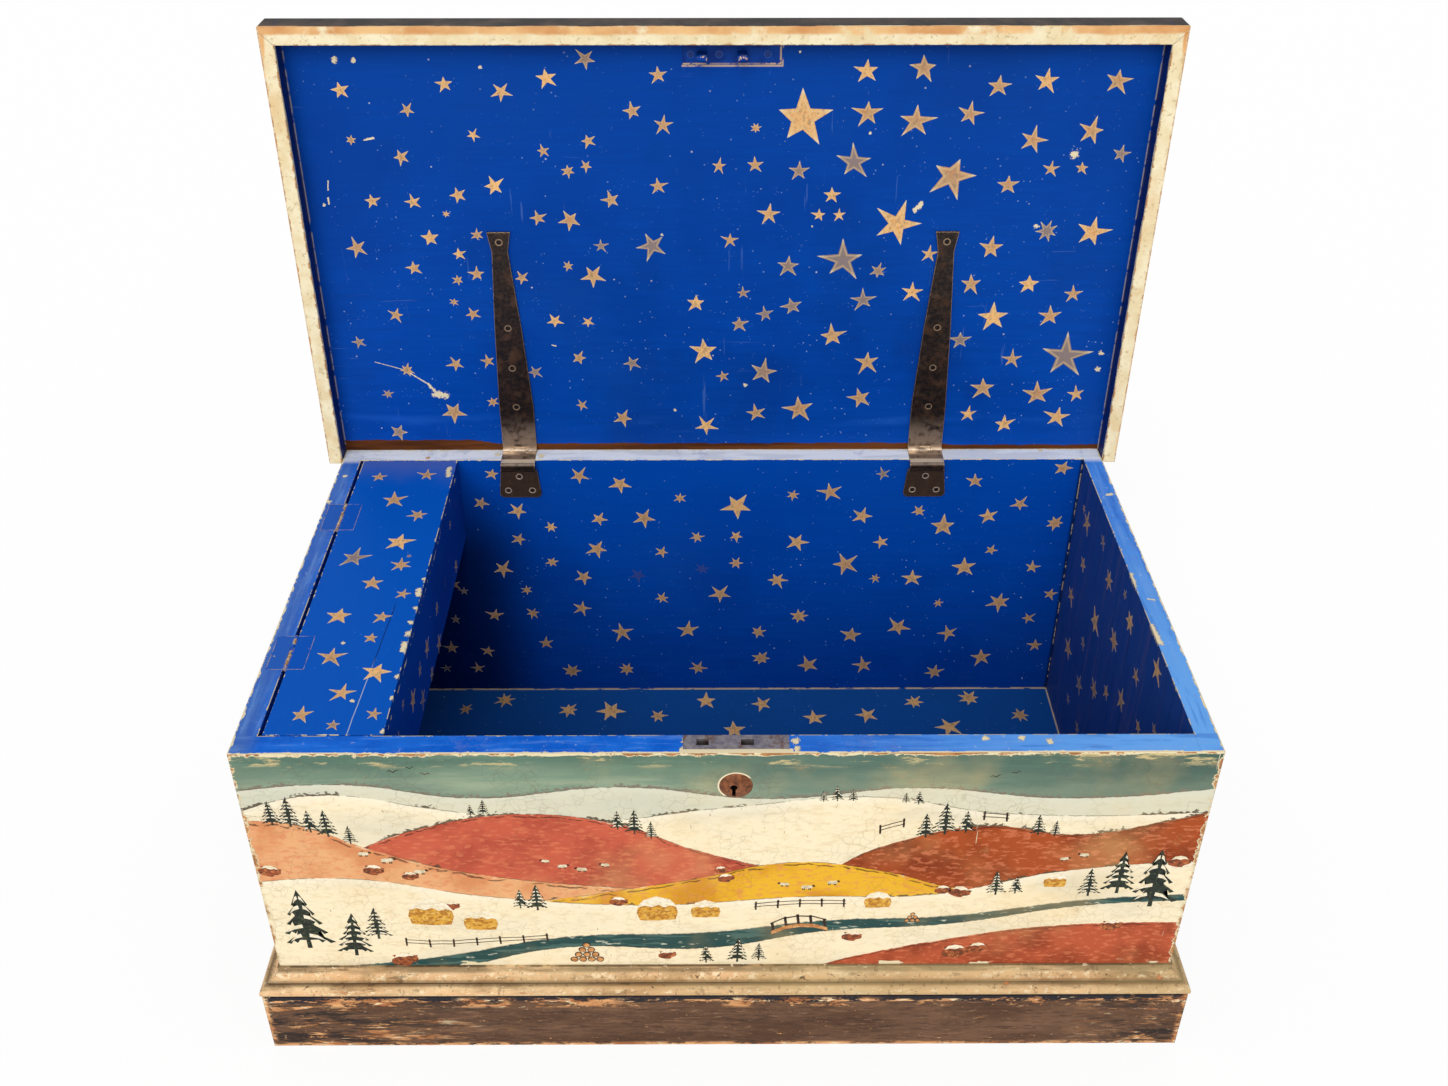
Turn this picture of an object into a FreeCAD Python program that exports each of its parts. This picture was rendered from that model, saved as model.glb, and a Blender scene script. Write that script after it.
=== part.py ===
import FreeCAD, Part
import math
import os
import Sketcher

# Painted chest with a strap-hinged lid, a candle box (till) at its left end and a lock.
# Origin: the middle of the chest's plan, on the floor. +X is to the right of someone who
# stands at the front, +Y points to the back and +Z is up. Millimetres and degrees.
# The lid's pieces are laid out flat, as if the lid lay level, and then turned open together.

os.makedirs("parts", exist_ok=True)
doc = FreeCAD.newDocument("PaintedChest")

SIZES = {
    # the box
    "chest_width": 920,
    "chest_depth": 508,
    "rim_height": 410,
    "wall_thickness": 23,
    "side_thickness": 22,
    "floor_height": 38,
    "bottom_thickness": 18,
    # the dovetailed corners
    "tail_count": 5,
    "pin_width": 18,
    "dovetail_slope_share": 0.14,
    # the plinth, its moulding and what stiffens it
    "plinth_height": 80,
    "plinth_thickness": 18,
    "moulding_height": 28,
    "bead_height": 13.5,
    "bead_reach": 19.5,
    "cove_reach": 12,
    "cove_top_edge": 2,
    "quirk_height": 2,
    "cove_round": 9.5,
    "bead_round": 6.2,
    "bearer_width": 45,
    "block_width": 40,
    # the lid
    "lid_thickness": 20,
    "lid_side_gap": 1,
    "lid_front_gap": 3,
    "lid_overhang": 4.5,
    "lip_drop": 24,
    "side_lip_thickness": 15,
    "front_lip_thickness": 19,
    "lip_round": 14,
    "open_angle": 90.5,
    # the strap hinges of the lid
    "strap_thickness": 3,
    "strap_inset": 212.5,
    "strap_root_width": 41,
    "strap_waist_width": 31,
    "strap_neck_width": 18,
    "strap_head_width": 26,
    "strap_shoulder": 62,
    "strap_waist": 169,
    "strap_length": 290,
    "strap_head_length": 24,
    "strap_lean": 4,
    "barrel_radius": 4.5,
    "hinge_pin_radius": 2,
    "hinge_running_gap": 0.06,
    "barrel_gap": 0.4,
    "hinge_inset": 2.85,
    "hinge_rise": 0.5,
    "crank_reach": 9,
    "crank_drop": 9,
    "joggle_drop": 7,
    "crank_round": 5,
    "leaf_drop": 53,
    "leaf_head_width": 44,
    "leaf_foot_width": 51,
    "leaf_corner": 4,
    # wood screws
    "screw_head_radius": 4.2,
    "screw_shank_radius": 2,
    "screw_length": 15,
    "screw_hole_gap": 0.05,
    # the candle box
    "till_outside": 117,
    "till_board": 10,
    "till_drop": 115,
    "till_floor_lift": 2,
    "housing_depth": 6,
    "till_lid_gap": 4,
    "till_end_gap": 1.2,
    "till_seat_gap": 0.3,
    "till_hinge_place": 115,
    "till_hinge_length": 50,
    "till_leaf_width": 17,
    "till_leaf_thickness": 1.5,
    "till_barrel_radius": 1.85,
    "till_pin_radius": 0.8,
    "till_pin_sink": 0.9,
    "till_pin_gap": 0.05,
    "till_knuckle_gap": 0.2,
    # the lock
    "lock_place": 9,
    "selvedge_length": 99,
    "selvedge_width": 18,
    "selvedge_thickness": 2.5,
    "cap_thickness": 2.5,
    "cap_drop": 66,
    "case_length": 76,
    "case_depth": 12.6,
    "case_drop": 62,
    "case_wall": 1.2,
    "slot_length": 12,
    "slot_width": 8,
    "slot_line": 14,
    "slot_offset": 31.5,
    "slot_spacing": 42,
    "staple_length": 10.5,
    "staple_width": 7,
    "staple_height": 17,
    "staple_wall": 2,
    "staple_round": 2.6,
    "bolt_thickness": 2.4,
    "prong_length": 9,
    "prong_height": 6,
    "prong_drop": 6,
    "prong_gap": 1,
    "upright_width": 5,
    "bar_height": 7,
    "bar_drop": 21,
    "bolt_travel": 9.5,
    "bolt_rest_gap": 0.1,
    "talon_width": 11,
    "talon_height": 3.5,
    "guide_width": 6,
    "guide_height": 3,
    "spring_thickness": 0.8,
    "spring_bow": 4,
    "spring_gap": 0.2,
    "spring_end_gap": 1,
    "keyhole_place": 7,
    "keyhole_drop": 41,
    "keyhole_radius": 3.4,
    "keyhole_slot_width": 3.2,
    "keyhole_slot_drop": 13,
    "drill_pin_radius": 1.5,
    "drill_pin_length": 11,
    "escutcheon_radius": 15.8,
    "escutcheon_height": 4.5,
    "escutcheon_thickness": 1.2,
    "escutcheon_drop": 42.5,
    "link_length": 104,
    "link_width": 28,
    "link_thickness": 2.5,
    "link_recess": 2.8,
    # the drop handles on the ends
    "handle_drop": 112,
    "handle_span": 104,
    "handle_fall": 52,
    "handle_rod_radius": 4.5,
    "handle_corner": 16,
    "handle_plate_length": 176,
    "handle_plate_height": 30,
    "handle_plate_thickness": 3,
    "handle_ear_length": 12,
    "handle_ear_radius": 8,
    "handle_pivot_out": 12,
    "handle_pivot_radius": 3,
    "handle_running_gap": 0.08,
    "handle_ear_gap": 0.6,
    # one overrun lets every cut pass well through what it cuts
    "overrun": 5,
}

sheet = doc.addObject("Spreadsheet::Sheet", "Sizes")
for line, (alias, value) in enumerate(SIZES.items(), 1):
    sheet.set("A%d" % line, alias)
    sheet.set("B%d" % line, str(value))
    sheet.setAlias("B%d" % line, alias)
doc.recompute()


class Size:
    """A size: its number, and the expression that ties it to the sheet."""

    def __init__(self, number, text):
        self.number = number
        self.text = text

    def joined(self, sign, other, number):
        return Size(number, "(%s %s %s)" % (self.text, sign, size(other).text))

    def __add__(self, other):
        return self.joined("+", other, self.number + size(other).number)

    def __sub__(self, other):
        return self.joined("-", other, self.number - size(other).number)

    def __mul__(self, other):
        return self.joined("*", other, self.number * size(other).number)

    def __truediv__(self, other):
        return self.joined("/", other, self.number / size(other).number)

    def __neg__(self):
        return Size(-self.number, "(0 - %s)" % self.text)


def size(value):
    """A size as it is, or a plain count or zero as a size."""
    if isinstance(value, Size):
        return value
    return Size(value, repr(value))


class Sheet:
    """Reads a size from the sheet by its alias."""

    def __getattr__(self, alias):
        return Size(SIZES[alias], "Sizes." + alias)


def cosine(angle):
    return Size(math.cos(math.radians(angle.number)), "cos(%s)" % angle.text)


def sine(angle):
    return Size(math.sin(math.radians(angle.number)), "sin(%s)" % angle.text)


s = Sheet()
left, right = -1, 1

# Lines that several pieces share.
half_width = s.chest_width / 2
half_depth = s.chest_depth / 2
inner_x = half_width - s.side_thickness
inner_y = half_depth - s.wall_thickness
rim = s.rim_height
floor = s.floor_height
wall_height = rim - floor
pitch = wall_height / s.tail_count
moulding_top = s.plinth_height + s.moulding_height

# The lid's hinge line, and the level of its underside while it lies flat.
hinge_y = half_depth - s.hinge_inset
hinge_z = rim + s.hinge_rise
lid_under = hinge_z + s.strap_thickness
lid_top = lid_under + s.lid_thickness
lid_half = half_width + s.lid_side_gap
lid_outer = lid_half + s.side_lip_thickness
lid_rear = hinge_y + s.lid_overhang
lid_front = -half_depth - s.lid_front_gap
lip_front = lid_front - s.front_lip_thickness
lip_low = lid_under - s.lip_drop

AXES = {"XY": "XY_Plane", "XZ": "XZ_Plane", "YZ": "YZ_Plane"}
finished = []


def body(name):
    made = doc.addObject("PartDesign::Body", name)
    made.AllowCompound = True
    return made


def bind(thing, path, value):
    """Tie one property of an object to the sheet."""
    thing.setExpression(path, size(value).text)


def sketch_on(owner, plane, level):
    """A sketch on one of the body's own origin planes, moved out to a level."""
    drawn = owner.newObject("Sketcher::SketchObject", owner.Name + "_sketch")
    features = owner.Origin.OriginFeatures
    base = next(f for f in features if f.Role == AXES[plane])
    drawn.AttachmentSupport = [(base, "")]
    drawn.MapMode = "FlatFace"
    bind(drawn, "AttachmentOffset.Base.z", -size(level) if plane == "XZ" else level)
    return drawn


def fix_point(drawn, geometry, end, across, up):
    for kind, value in (("DistanceX", across), ("DistanceY", up)):
        value = size(value)
        rule = Sketcher.Constraint(kind, -1, 1, geometry, end, float(value.number))
        number = drawn.addConstraint(rule)
        bind(drawn, "Constraints[%d]" % number, value)


def draw_outline(drawn, points):
    """A closed outline of straight lines through points, each tied to the sheet."""
    first = drawn.GeometryCount
    count = len(points)
    spots = [FreeCAD.Vector(size(x).number, size(y).number, 0) for x, y in points]
    for i in range(count):
        drawn.addGeometry(Part.LineSegment(spots[i], spots[(i + 1) % count]), False)
    for i in range(count):
        following = first + (i + 1) % count
        drawn.addConstraint(Sketcher.Constraint("Coincident", first + i, 2, following, 1))
    for i, (x, y) in enumerate(points):
        fix_point(drawn, first + i, 1, x, y)


def draw_circle(drawn, centre, radius):
    radius = size(radius)
    middle = FreeCAD.Vector(size(centre[0]).number, size(centre[1]).number, 0)
    ring = Part.Circle(middle, FreeCAD.Vector(0, 0, 1), radius.number)
    number = drawn.addGeometry(ring, False)
    rule = Sketcher.Constraint("Radius", number, radius.number)
    bind(drawn, "Constraints[%d]" % drawn.addConstraint(rule), radius)
    fix_point(drawn, number, 3, *centre)


def rectangle(low, high):
    return [(low[0], low[1]), (high[0], low[1]), (high[0], high[1]), (low[0], high[1])]


def raised(owner, kind, plane, start, end, outlines, circles):
    """Add or cut outlines and circles of one plane from one level to another."""
    drawn = sketch_on(owner, plane, start)
    for points in outlines:
        draw_outline(drawn, points)
    for centre, radius in circles:
        draw_circle(drawn, centre, radius)
    feature = owner.newObject("PartDesign::" + kind, owner.Name + "_" + kind)
    feature.Profile = drawn
    onward = size(end).number > size(start).number
    bind(feature, "Length", size(end) - start if onward else size(start) - end)
    feature.Reversed = ((kind == "Pad") == (plane == "XZ")) == onward
    owner.Tip = feature
    return feature


def pad(owner, plane, start, end, *outlines, circles=()):
    return raised(owner, "Pad", plane, start, end, outlines, circles)


def cut(owner, plane, start, end, *outlines, circles=()):
    return raised(owner, "Pocket", plane, start, end, outlines, circles)


def repeat(owner, feature, axis, step, count):
    """Copy a feature along an origin axis, count times at an even step."""
    pattern = owner.newObject("PartDesign::LinearPattern", owner.Name + "_pattern")
    pattern.Originals = [feature]
    line = next(f for f in owner.Origin.OriginFeatures if f.Role == axis)
    pattern.Direction = (line, [""])
    bind(pattern, "Length", step * (size(count) - 1))
    bind(pattern, "Occurrences", count)
    owner.Tip = pattern
    return pattern


def round_edges(owner, radius, chosen):
    """Fillet the straight edges for which chosen(middle, direction) is true."""
    doc.recompute()
    names = []
    for number, edge in enumerate(owner.Shape.Edges, 1):
        if len(edge.Vertexes) < 2:
            continue
        ends = [v.Point for v in edge.Vertexes]
        along = ends[1] - ends[0]
        if along.Length == 0 or not isinstance(edge.Curve, Part.Line):
            continue
        if chosen((ends[0] + ends[1]) / 2, along / along.Length):
            names.append("Edge%d" % number)
    base = owner.Tip
    feature = owner.newObject("PartDesign::Fillet", owner.Name + "_round")
    feature.Base = (base, names)
    bind(feature, "Radius", radius)
    owner.Tip = feature
    return feature


def near(value, level):
    """True where a coordinate lies on a level."""
    return abs(value - size(level).number) < 0.01 * s.overrun.number


def box(name, low, high):
    """A plain board or block between two corners."""
    made = doc.addObject("Part::Box", name)
    for path, axis, a, b in zip(("Length", "Width", "Height"), "xyz", low, high):
        bind(made, path, size(b) - a)
        bind(made, "Placement.Base." + axis, a)
    return made


def group(name, pieces):
    made = doc.addObject("Part::Compound", name)
    made.Links = pieces
    return made


def less(name, base, tool):
    made = doc.addObject("Part::Cut", name)
    made.Base = base
    made.Tool = tool
    return made


def finish(piece, node):
    """Name a finished piece, which is written to a file of its own."""
    piece.Label = node
    finished.append(piece)
    return piece


def turn_open(piece):
    """Turn a lid piece about the hinge line, from flat to its open rest."""
    angle = -s.open_angle
    piece.Placement = FreeCAD.Placement(
        FreeCAD.Vector(0, 0, 0), FreeCAD.Rotation(FreeCAD.Vector(1, 0, 0), angle.number)
    )
    turned_y = hinge_y * cosine(angle) - hinge_z * sine(angle)
    turned_z = hinge_y * sine(angle) + hinge_z * cosine(angle)
    bind(piece, "Placement.Rotation.Angle", angle)
    bind(piece, "Placement.Base.y", hinge_y - turned_y)
    bind(piece, "Placement.Base.z", hinge_z - turned_z)
    return piece


# Dovetails: the pins are the ends of the side boards, the tails are on front and back.
pin_half = s.pin_width / 2
pin_tip_half = pin_half - s.side_thickness * s.dovetail_slope_share


def pin_outline(side, level):
    """One pin on the front or back board's face, wider at its root than at its tip."""
    return [
        (inner_x * side, level - pin_half),
        (half_width * side, level - pin_tip_half),
        (half_width * side, level + pin_tip_half),
        (inner_x * side, level + pin_half),
    ]


def tail_outline(side):
    """The lowest tail's socket in a side board, between its two lowest pins."""
    return [
        (inner_x * side, floor + pin_half),
        (half_width * side, floor + pin_tip_half),
        (half_width * side, floor + pitch - pin_tip_half),
        (inner_x * side, floor + pitch - pin_half),
    ]


# The candle box: its wall and floor run in housings in the front and back boards.
till_right = s.till_outside - inner_x
till_wall_left = till_right - s.till_board
till_low = rim - s.till_drop
till_floor_low = till_low + s.till_floor_lift
till_floor_top = till_floor_low + s.till_board
till_lid_low = rim - s.till_board
till_wall_top = till_lid_low - s.till_seat_gap
housed_y = inner_y + s.housing_depth

# The lock's parts, all measured from the middle of its top plate and from the rim.
lock_left = s.lock_place - s.selvedge_length / 2
lock_right = s.lock_place + s.selvedge_length / 2
case_left = s.lock_place - s.case_length / 2
case_right = s.lock_place + s.case_length / 2
cap_y = -inner_y - s.cap_thickness
case_y = cap_y - s.case_depth
case_low = rim - s.case_drop
case_top = rim - s.selvedge_thickness
cap_low = rim - s.cap_drop
selvedge_y = -inner_y - s.selvedge_width
slot_y = -half_depth + s.slot_line
slot_left = s.lock_place - s.slot_offset
slots = [slot_left, slot_left + s.slot_spacing]
keyhole_z = rim - s.keyhole_drop
margin_middle = (s.selvedge_length + s.case_length) / 4
lock_screw_spots = [
    (s.lock_place + margin_middle * side, rim - s.cap_drop * share)
    for side in (left, right)
    for share in (0.25, 0.8)
]

# The end handles' level, the half span of the bent rod, and the screws of their back plates.
handle_z = rim - s.handle_drop
handle_end = s.handle_span / 2
handle_screw_spots = [
    (s.handle_plate_length * share, handle_z + s.handle_plate_height * rise_share)
    for share in (-0.46, 0.46)
    for rise_share in (-0.25, 0.25)
]

# The hinge leaves' edge beside the barrels, and how a hinge's width splits in three.
leaf_edge = hinge_y - s.barrel_radius - s.barrel_gap
strap_place = half_width - s.strap_inset
strap_neck = s.strap_length - s.strap_head_length
root_half = s.strap_root_width / 2
third_half = s.strap_root_width / 3 / 2
leaf_face = inner_y - s.strap_thickness
leaf_low = rim - s.leaf_drop
leaf_head_z = rim - s.crank_drop - s.strap_thickness
leaf_middle = (leaf_head_z + leaf_low) / 2
head_sink = s.screw_head_radius - s.screw_shank_radius


def strap_screw_spots(side):
    """Four screws along a strap, given in its plan."""
    root = strap_place * side
    lean = s.strap_lean * side
    near_root = (root, hinge_y - s.strap_shoulder)
    middle = (root + lean / 4, hinge_y - (s.strap_shoulder + s.strap_waist) / 2)
    waist = (root + lean / 2, hinge_y - s.strap_waist)
    head = (root + lean, hinge_y - (strap_neck + s.strap_length) / 2)
    return [near_root, middle, waist, head]


def leaf_screw_spots(side):
    """Three screws in the foot of a cranked leaf, seen from the front."""
    root = strap_place * side
    spread = s.leaf_head_width / 3
    upper = (root, (leaf_head_z + leaf_middle) / 2)
    low_level = (leaf_low + leaf_middle) / 2
    return [upper, (root - spread, low_level), (root + spread, low_level)]


def countersink(act, made, plane, face, way, spots):
    """Cones at 45 degrees that narrow from a face, added or cut; way is the side they go to."""
    circles = [(spot, s.screw_head_radius) for spot in spots]
    feature = act(made, plane, face, face + head_sink * way, circles=circles)
    feature.TaperAngle = -45
    return feature


def screws(node, plane, face, way, spots):
    """Countersunk wood screws, flush with a face and driven in from it."""
    made = body(node)
    shanks = [(spot, s.screw_shank_radius) for spot in spots]
    pad(made, plane, face + head_sink * way, face + s.screw_length * way, circles=shanks)
    countersink(pad, made, plane, face, way, spots)
    return made


def drill(made, plane, start, end, spots):
    """Clearance holes for screw shanks."""
    radius = s.screw_shank_radius + s.screw_hole_gap
    return cut(made, plane, start, end, circles=[(spot, radius) for spot in spots])


def plate_holes(made, plane, face, back, way, spots):
    """Countersunk holes through an iron plate."""
    drill(made, plane, face, back, spots)
    countersink(cut, made, plane, face, way, spots)


# Front and back boards
def wall_board(node, side):
    """A dovetailed board as wide as the chest, housed for the candle box."""
    made = body(node)
    outer = half_depth * side
    inner = inner_y * side
    pad(made, "XZ", outer, inner, rectangle((-half_width, floor), (half_width, rim)))
    sockets = cut(made, "XZ", outer, inner, pin_outline(left, floor), pin_outline(right, floor))
    repeat(made, sockets, "Z_Axis", pitch, s.tail_count + 1)
    housing = [
        (-inner_x, till_floor_low),
        (till_wall_left, till_floor_low),
        (till_wall_left, till_low),
        (till_right, till_low),
        (till_right, till_wall_top),
        (till_wall_left, till_wall_top),
        (till_wall_left, till_floor_top),
        (-inner_x, till_floor_top),
    ]
    cut(made, "XZ", inner, housed_y * side, housing)
    return made


def keyhole(act, made, start, end):
    """A round hole with a slot down from it, cut, or added as a tool that cuts."""
    half = s.keyhole_slot_width / 2
    slot = rectangle(
        (s.keyhole_place - half, keyhole_z - s.keyhole_slot_drop), (s.keyhole_place + half, keyhole_z)
    )
    act(made, "XZ", start, end, slot)
    act(made, "XZ", start, end, circles=[((s.keyhole_place, keyhole_z), s.keyhole_radius)])


front_board = wall_board("front_board", left)
cut(front_board, "XY", case_top, rim, rectangle((lock_left, selvedge_y), (lock_right, -inner_y)))
cut(front_board, "XZ", cap_y, -inner_y, rectangle((lock_left, cap_low), (lock_right, rim)))
cut(front_board, "XZ", case_y, cap_y, rectangle((case_left, case_low), (case_right, rim)))
keyhole(cut, front_board, -half_depth, case_y)
drill(front_board, "XZ", cap_y, -inner_y - s.screw_length - s.screw_hole_gap, lock_screw_spots)
finish(front_board, "front_board")

back_board = wall_board("back_board", right)
for side in (left, right):
    root = strap_place * side
    gain_half = root_half + s.barrel_gap / 2
    cut(
        back_board, "XY", rim - s.strap_thickness, rim,
        rectangle((root - gain_half, inner_y), (root + gain_half, leaf_edge)),
    )
    cut(
        back_board, "XY", hinge_z - s.barrel_radius - s.barrel_gap, rim,
        rectangle((root - gain_half, leaf_edge), (root + gain_half, half_depth)),
    )
    shank_end = leaf_face + s.screw_length + s.screw_hole_gap
    drill(back_board, "XZ", inner_y, shank_end, leaf_screw_spots(side))
finish(back_board, "back_board")


# Side boards, with the pins
def side_board(node, side):
    made = body(node)
    plan = rectangle((inner_x * side, -half_depth), (half_width * side, half_depth))
    pad(made, "XY", floor, rim, plan)
    for place in (left, right):
        socket = cut(made, "XZ", inner_y * place, half_depth * place, tail_outline(side))
        repeat(made, socket, "Z_Axis", pitch, s.tail_count)
    inmost = half_width + s.handle_plate_thickness - s.screw_length - s.screw_hole_gap
    drill(made, "YZ", half_width * side, inmost * side, handle_screw_spots)
    return made


till_hinge_low = s.till_hinge_place - s.till_hinge_length / 2
till_hinge_high = s.till_hinge_place + s.till_hinge_length / 2
till_pin_x = s.till_lid_gap / 2 - inner_x
till_pin_z = rim - s.till_pin_sink
till_lid_left = s.till_lid_gap - inner_x

left_side = side_board("left_side", left)
for place in (left, right):
    gain = rectangle(
        (-inner_x - s.till_leaf_width, till_hinge_low * place), (-inner_x, till_hinge_high * place)
    )
    cut(left_side, "XY", rim - s.till_leaf_thickness, rim, gain)
finish(left_side, "left_side")
finish(side_board("right_side", right), "right_side")

# Bottom boards, nailed up under the walls, with a bearer behind and blocks in front
board_low = floor - s.bottom_thickness
board_depth = s.chest_depth / 3
for number, place in enumerate(("front", "middle", "rear")):
    y0 = -half_depth + board_depth * number
    node = "bottom_board_" + place
    finish(box(node, (-half_width, y0, board_low), (half_width, y0 + board_depth, floor)), node)
bearer_front = (-half_width, half_depth - s.bearer_width, 0)
finish(box("rear_bearer", bearer_front, (half_width, half_depth, board_low)), "rear_bearer")
blocks = []
for x0 in (-half_width, -s.block_width / 2, half_width - s.block_width):
    corner = (x0 + s.block_width, -half_depth + s.block_width, board_low)
    blocks.append(box("plinth_block", (x0, -half_depth, 0), corner))
finish(group("plinth_blocks", blocks), "plinth_blocks")


# Plinth: three boards, mitred at the front corners
def mitred_front(reach):
    """Plan of a front piece that stands out from the walls by a reach."""
    return [
        (-half_width - reach, -half_depth - reach),
        (half_width + reach, -half_depth - reach),
        (half_width, -half_depth),
        (-half_width, -half_depth),
    ]


def mitred_side(side, reach):
    return [
        (half_width * side, -half_depth),
        ((half_width + reach) * side, -half_depth - reach),
        ((half_width + reach) * side, half_depth),
        (half_width * side, half_depth),
    ]


plinth = body("plinth_front")
pad(plinth, "XY", 0, s.plinth_height, mitred_front(s.plinth_thickness))
finish(plinth, "plinth_front")
for side, word in ((left, "left"), (right, "right")):
    plinth = body("plinth_" + word)
    pad(plinth, "XY", 0, s.plinth_height, mitred_side(side, s.plinth_thickness))
    finish(plinth, "plinth_" + word)

# Base moulding: a cove over a bead, run on the plinth's top edge and mitred like it
bead_top = s.plinth_height + s.bead_height
quirk_top = bead_top + s.quirk_height
MOULDING = [
    (size(0), s.plinth_height),
    (s.bead_reach, s.plinth_height),
    (s.bead_reach, bead_top),
    (s.cove_reach, bead_top),
    (s.cove_reach, quirk_top),
    (s.cove_top_edge, quirk_top),
    (s.cove_top_edge, moulding_top),
    (size(0), moulding_top),
]


def shape_moulding(made, out, along):
    """Round the bead and hollow the cove; out(point) is the reach of an edge."""
    def bead_edge(middle, way):
        straight = abs(getattr(way, along)) > 0.9
        levels = near(middle.z, s.plinth_height) or near(middle.z, bead_top)
        return straight and levels and near(out(middle), s.bead_reach)

    def cove_edge(middle, way):
        straight = abs(getattr(way, along)) > 0.9
        return straight and near(middle.z, quirk_top) and near(out(middle), s.cove_top_edge)

    round_edges(made, s.bead_round, bead_edge)
    round_edges(made, s.cove_round, cove_edge)


moulding = body("base_moulding_front")
profile = [(-half_depth - x, z) for x, z in MOULDING]
outer = half_width + s.bead_reach
pad(moulding, "YZ", -outer, outer, profile)
shape_moulding(moulding, lambda point: -half_depth.number - point.y, "x")
spare = s.bead_reach + s.overrun
for side in (left, right):
    waste = [
        (half_width * side, -half_depth),
        ((half_width + spare) * side, -half_depth - spare),
        ((half_width + spare) * side, -half_depth),
    ]
    cut(moulding, "XY", 0, moulding_top + s.overrun, waste)
finish(moulding, "base_moulding_front")
for side, word in ((left, "left"), (right, "right")):
    moulding = body("base_moulding_" + word)
    profile = [((half_width + x) * side, z) for x, z in MOULDING]
    pad(moulding, "XZ", -half_depth - s.bead_reach, half_depth, profile)
    shape_moulding(moulding, lambda point: abs(point.x) - half_width.number, "y")
    waste = [
        (half_width * side, -half_depth),
        ((half_width + spare) * side, -half_depth - spare),
        (half_width * side, -half_depth - spare),
    ]
    cut(moulding, "XY", 0, moulding_top + s.overrun, waste)
    finish(moulding, "base_moulding_" + word)

# Candle box: wall, floor, and a lid with a pair of butt hinges let in flush
till_wall_low = (till_wall_left, -housed_y, till_low)
finish(box("till_wall", till_wall_low, (till_right, housed_y, till_wall_top)), "till_wall")
till_floor_corner = (till_wall_left, housed_y, till_floor_top)
finish(box("till_floor", (-inner_x, -housed_y, till_floor_low), till_floor_corner), "till_floor")

till_lid_end = inner_y - s.till_end_gap
till_lid = body("till_lid_board")
till_lid_plan = rectangle((till_lid_left, -till_lid_end), (till_right, till_lid_end))
pad(till_lid, "XY", till_lid_low, rim, till_lid_plan)
for place in (left, right):
    gain = rectangle(
        (till_lid_left, till_hinge_low * place),
        (till_lid_left + s.till_leaf_width, till_hinge_high * place),
    )
    cut(till_lid, "XY", rim - s.till_leaf_thickness, rim, gain)
finish(till_lid, "till_lid_board")


def till_leaf(name, place, moving):
    """One leaf of a butt hinge with its knuckles round the pin."""
    made = body(name)
    middle = s.till_hinge_place * place
    end = s.till_hinge_length / 2
    third = s.till_hinge_length / 3 / 2
    gap = s.till_knuckle_gap
    if moving:
        plate = (till_lid_left, till_lid_left + s.till_leaf_width)
        spans = [(middle - third + gap, middle + third - gap)]
        tongue = (till_pin_x, till_lid_left)
    else:
        plate = (-inner_x - s.till_leaf_width, -inner_x)
        spans = [(middle - end, middle - third), (middle + third, middle + end)]
        tongue = (-inner_x, till_pin_x)
    leaf_low_z = rim - s.till_leaf_thickness
    pad(made, "XY", leaf_low_z, rim, rectangle((plate[0], middle - end), (plate[1], middle + end)))
    pad(made, "XY", leaf_low_z, rim, *[rectangle((tongue[0], a), (tongue[1], b)) for a, b in spans])
    for a, b in spans:
        pad(made, "XZ", a, b, circles=[((till_pin_x, till_pin_z), s.till_barrel_radius)])
    hole = s.till_pin_radius + s.till_pin_gap
    cut(made, "XZ", middle - end, middle + end, circles=[((till_pin_x, till_pin_z), hole)])
    return made


for node, moving in (("till_hinge_wall_leaves", False), ("till_hinge_lid_leaves", True)):
    finish(group(node, [till_leaf("till_leaf", place, moving) for place in (left, right)]), node)
till_pins = body("till_hinge_pins")
for place in (left, right):
    middle = s.till_hinge_place * place
    end = s.till_hinge_length / 2
    ring = ((till_pin_x, till_pin_z), s.till_pin_radius)
    pad(till_pins, "XZ", middle - end, middle + end, circles=[ring])
finish(till_pins, "till_hinge_pins")


# Strap hinges
def strap(node, side):
    """A long leaf that tapers to a neck and flares to a head, with the middle barrel."""
    made = body(node)
    root = strap_place * side
    lean = s.strap_lean * side
    stations = [
        (leaf_edge, root, s.strap_root_width),
        (hinge_y - s.strap_shoulder, root, s.strap_root_width),
        (hinge_y - s.strap_waist, root + lean / 2, s.strap_waist_width),
        (hinge_y - strap_neck, root + lean, s.strap_neck_width),
        (hinge_y - s.strap_length, root + lean, s.strap_head_width),
    ]
    left_edge = [(middle - width / 2, y) for y, middle, width in stations]
    right_edge = [(middle + width / 2, y) for y, middle, width in stations]
    pad(made, "XY", hinge_z, lid_under, left_edge + right_edge[::-1])
    half = third_half - s.barrel_gap / 2
    pad(made, "XY", hinge_z, lid_under, rectangle((root - half, leaf_edge), (root + half, hinge_y)))
    pad(made, "YZ", root - half, root + half, circles=[((hinge_y, hinge_z), s.barrel_radius)])
    hole = s.hinge_pin_radius + s.hinge_running_gap
    cut(made, "YZ", root - half, root + half, circles=[((hinge_y, hinge_z), hole)])
    plate_holes(made, "XY", hinge_z, lid_under, 1, strap_screw_spots(side))
    return made


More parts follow.
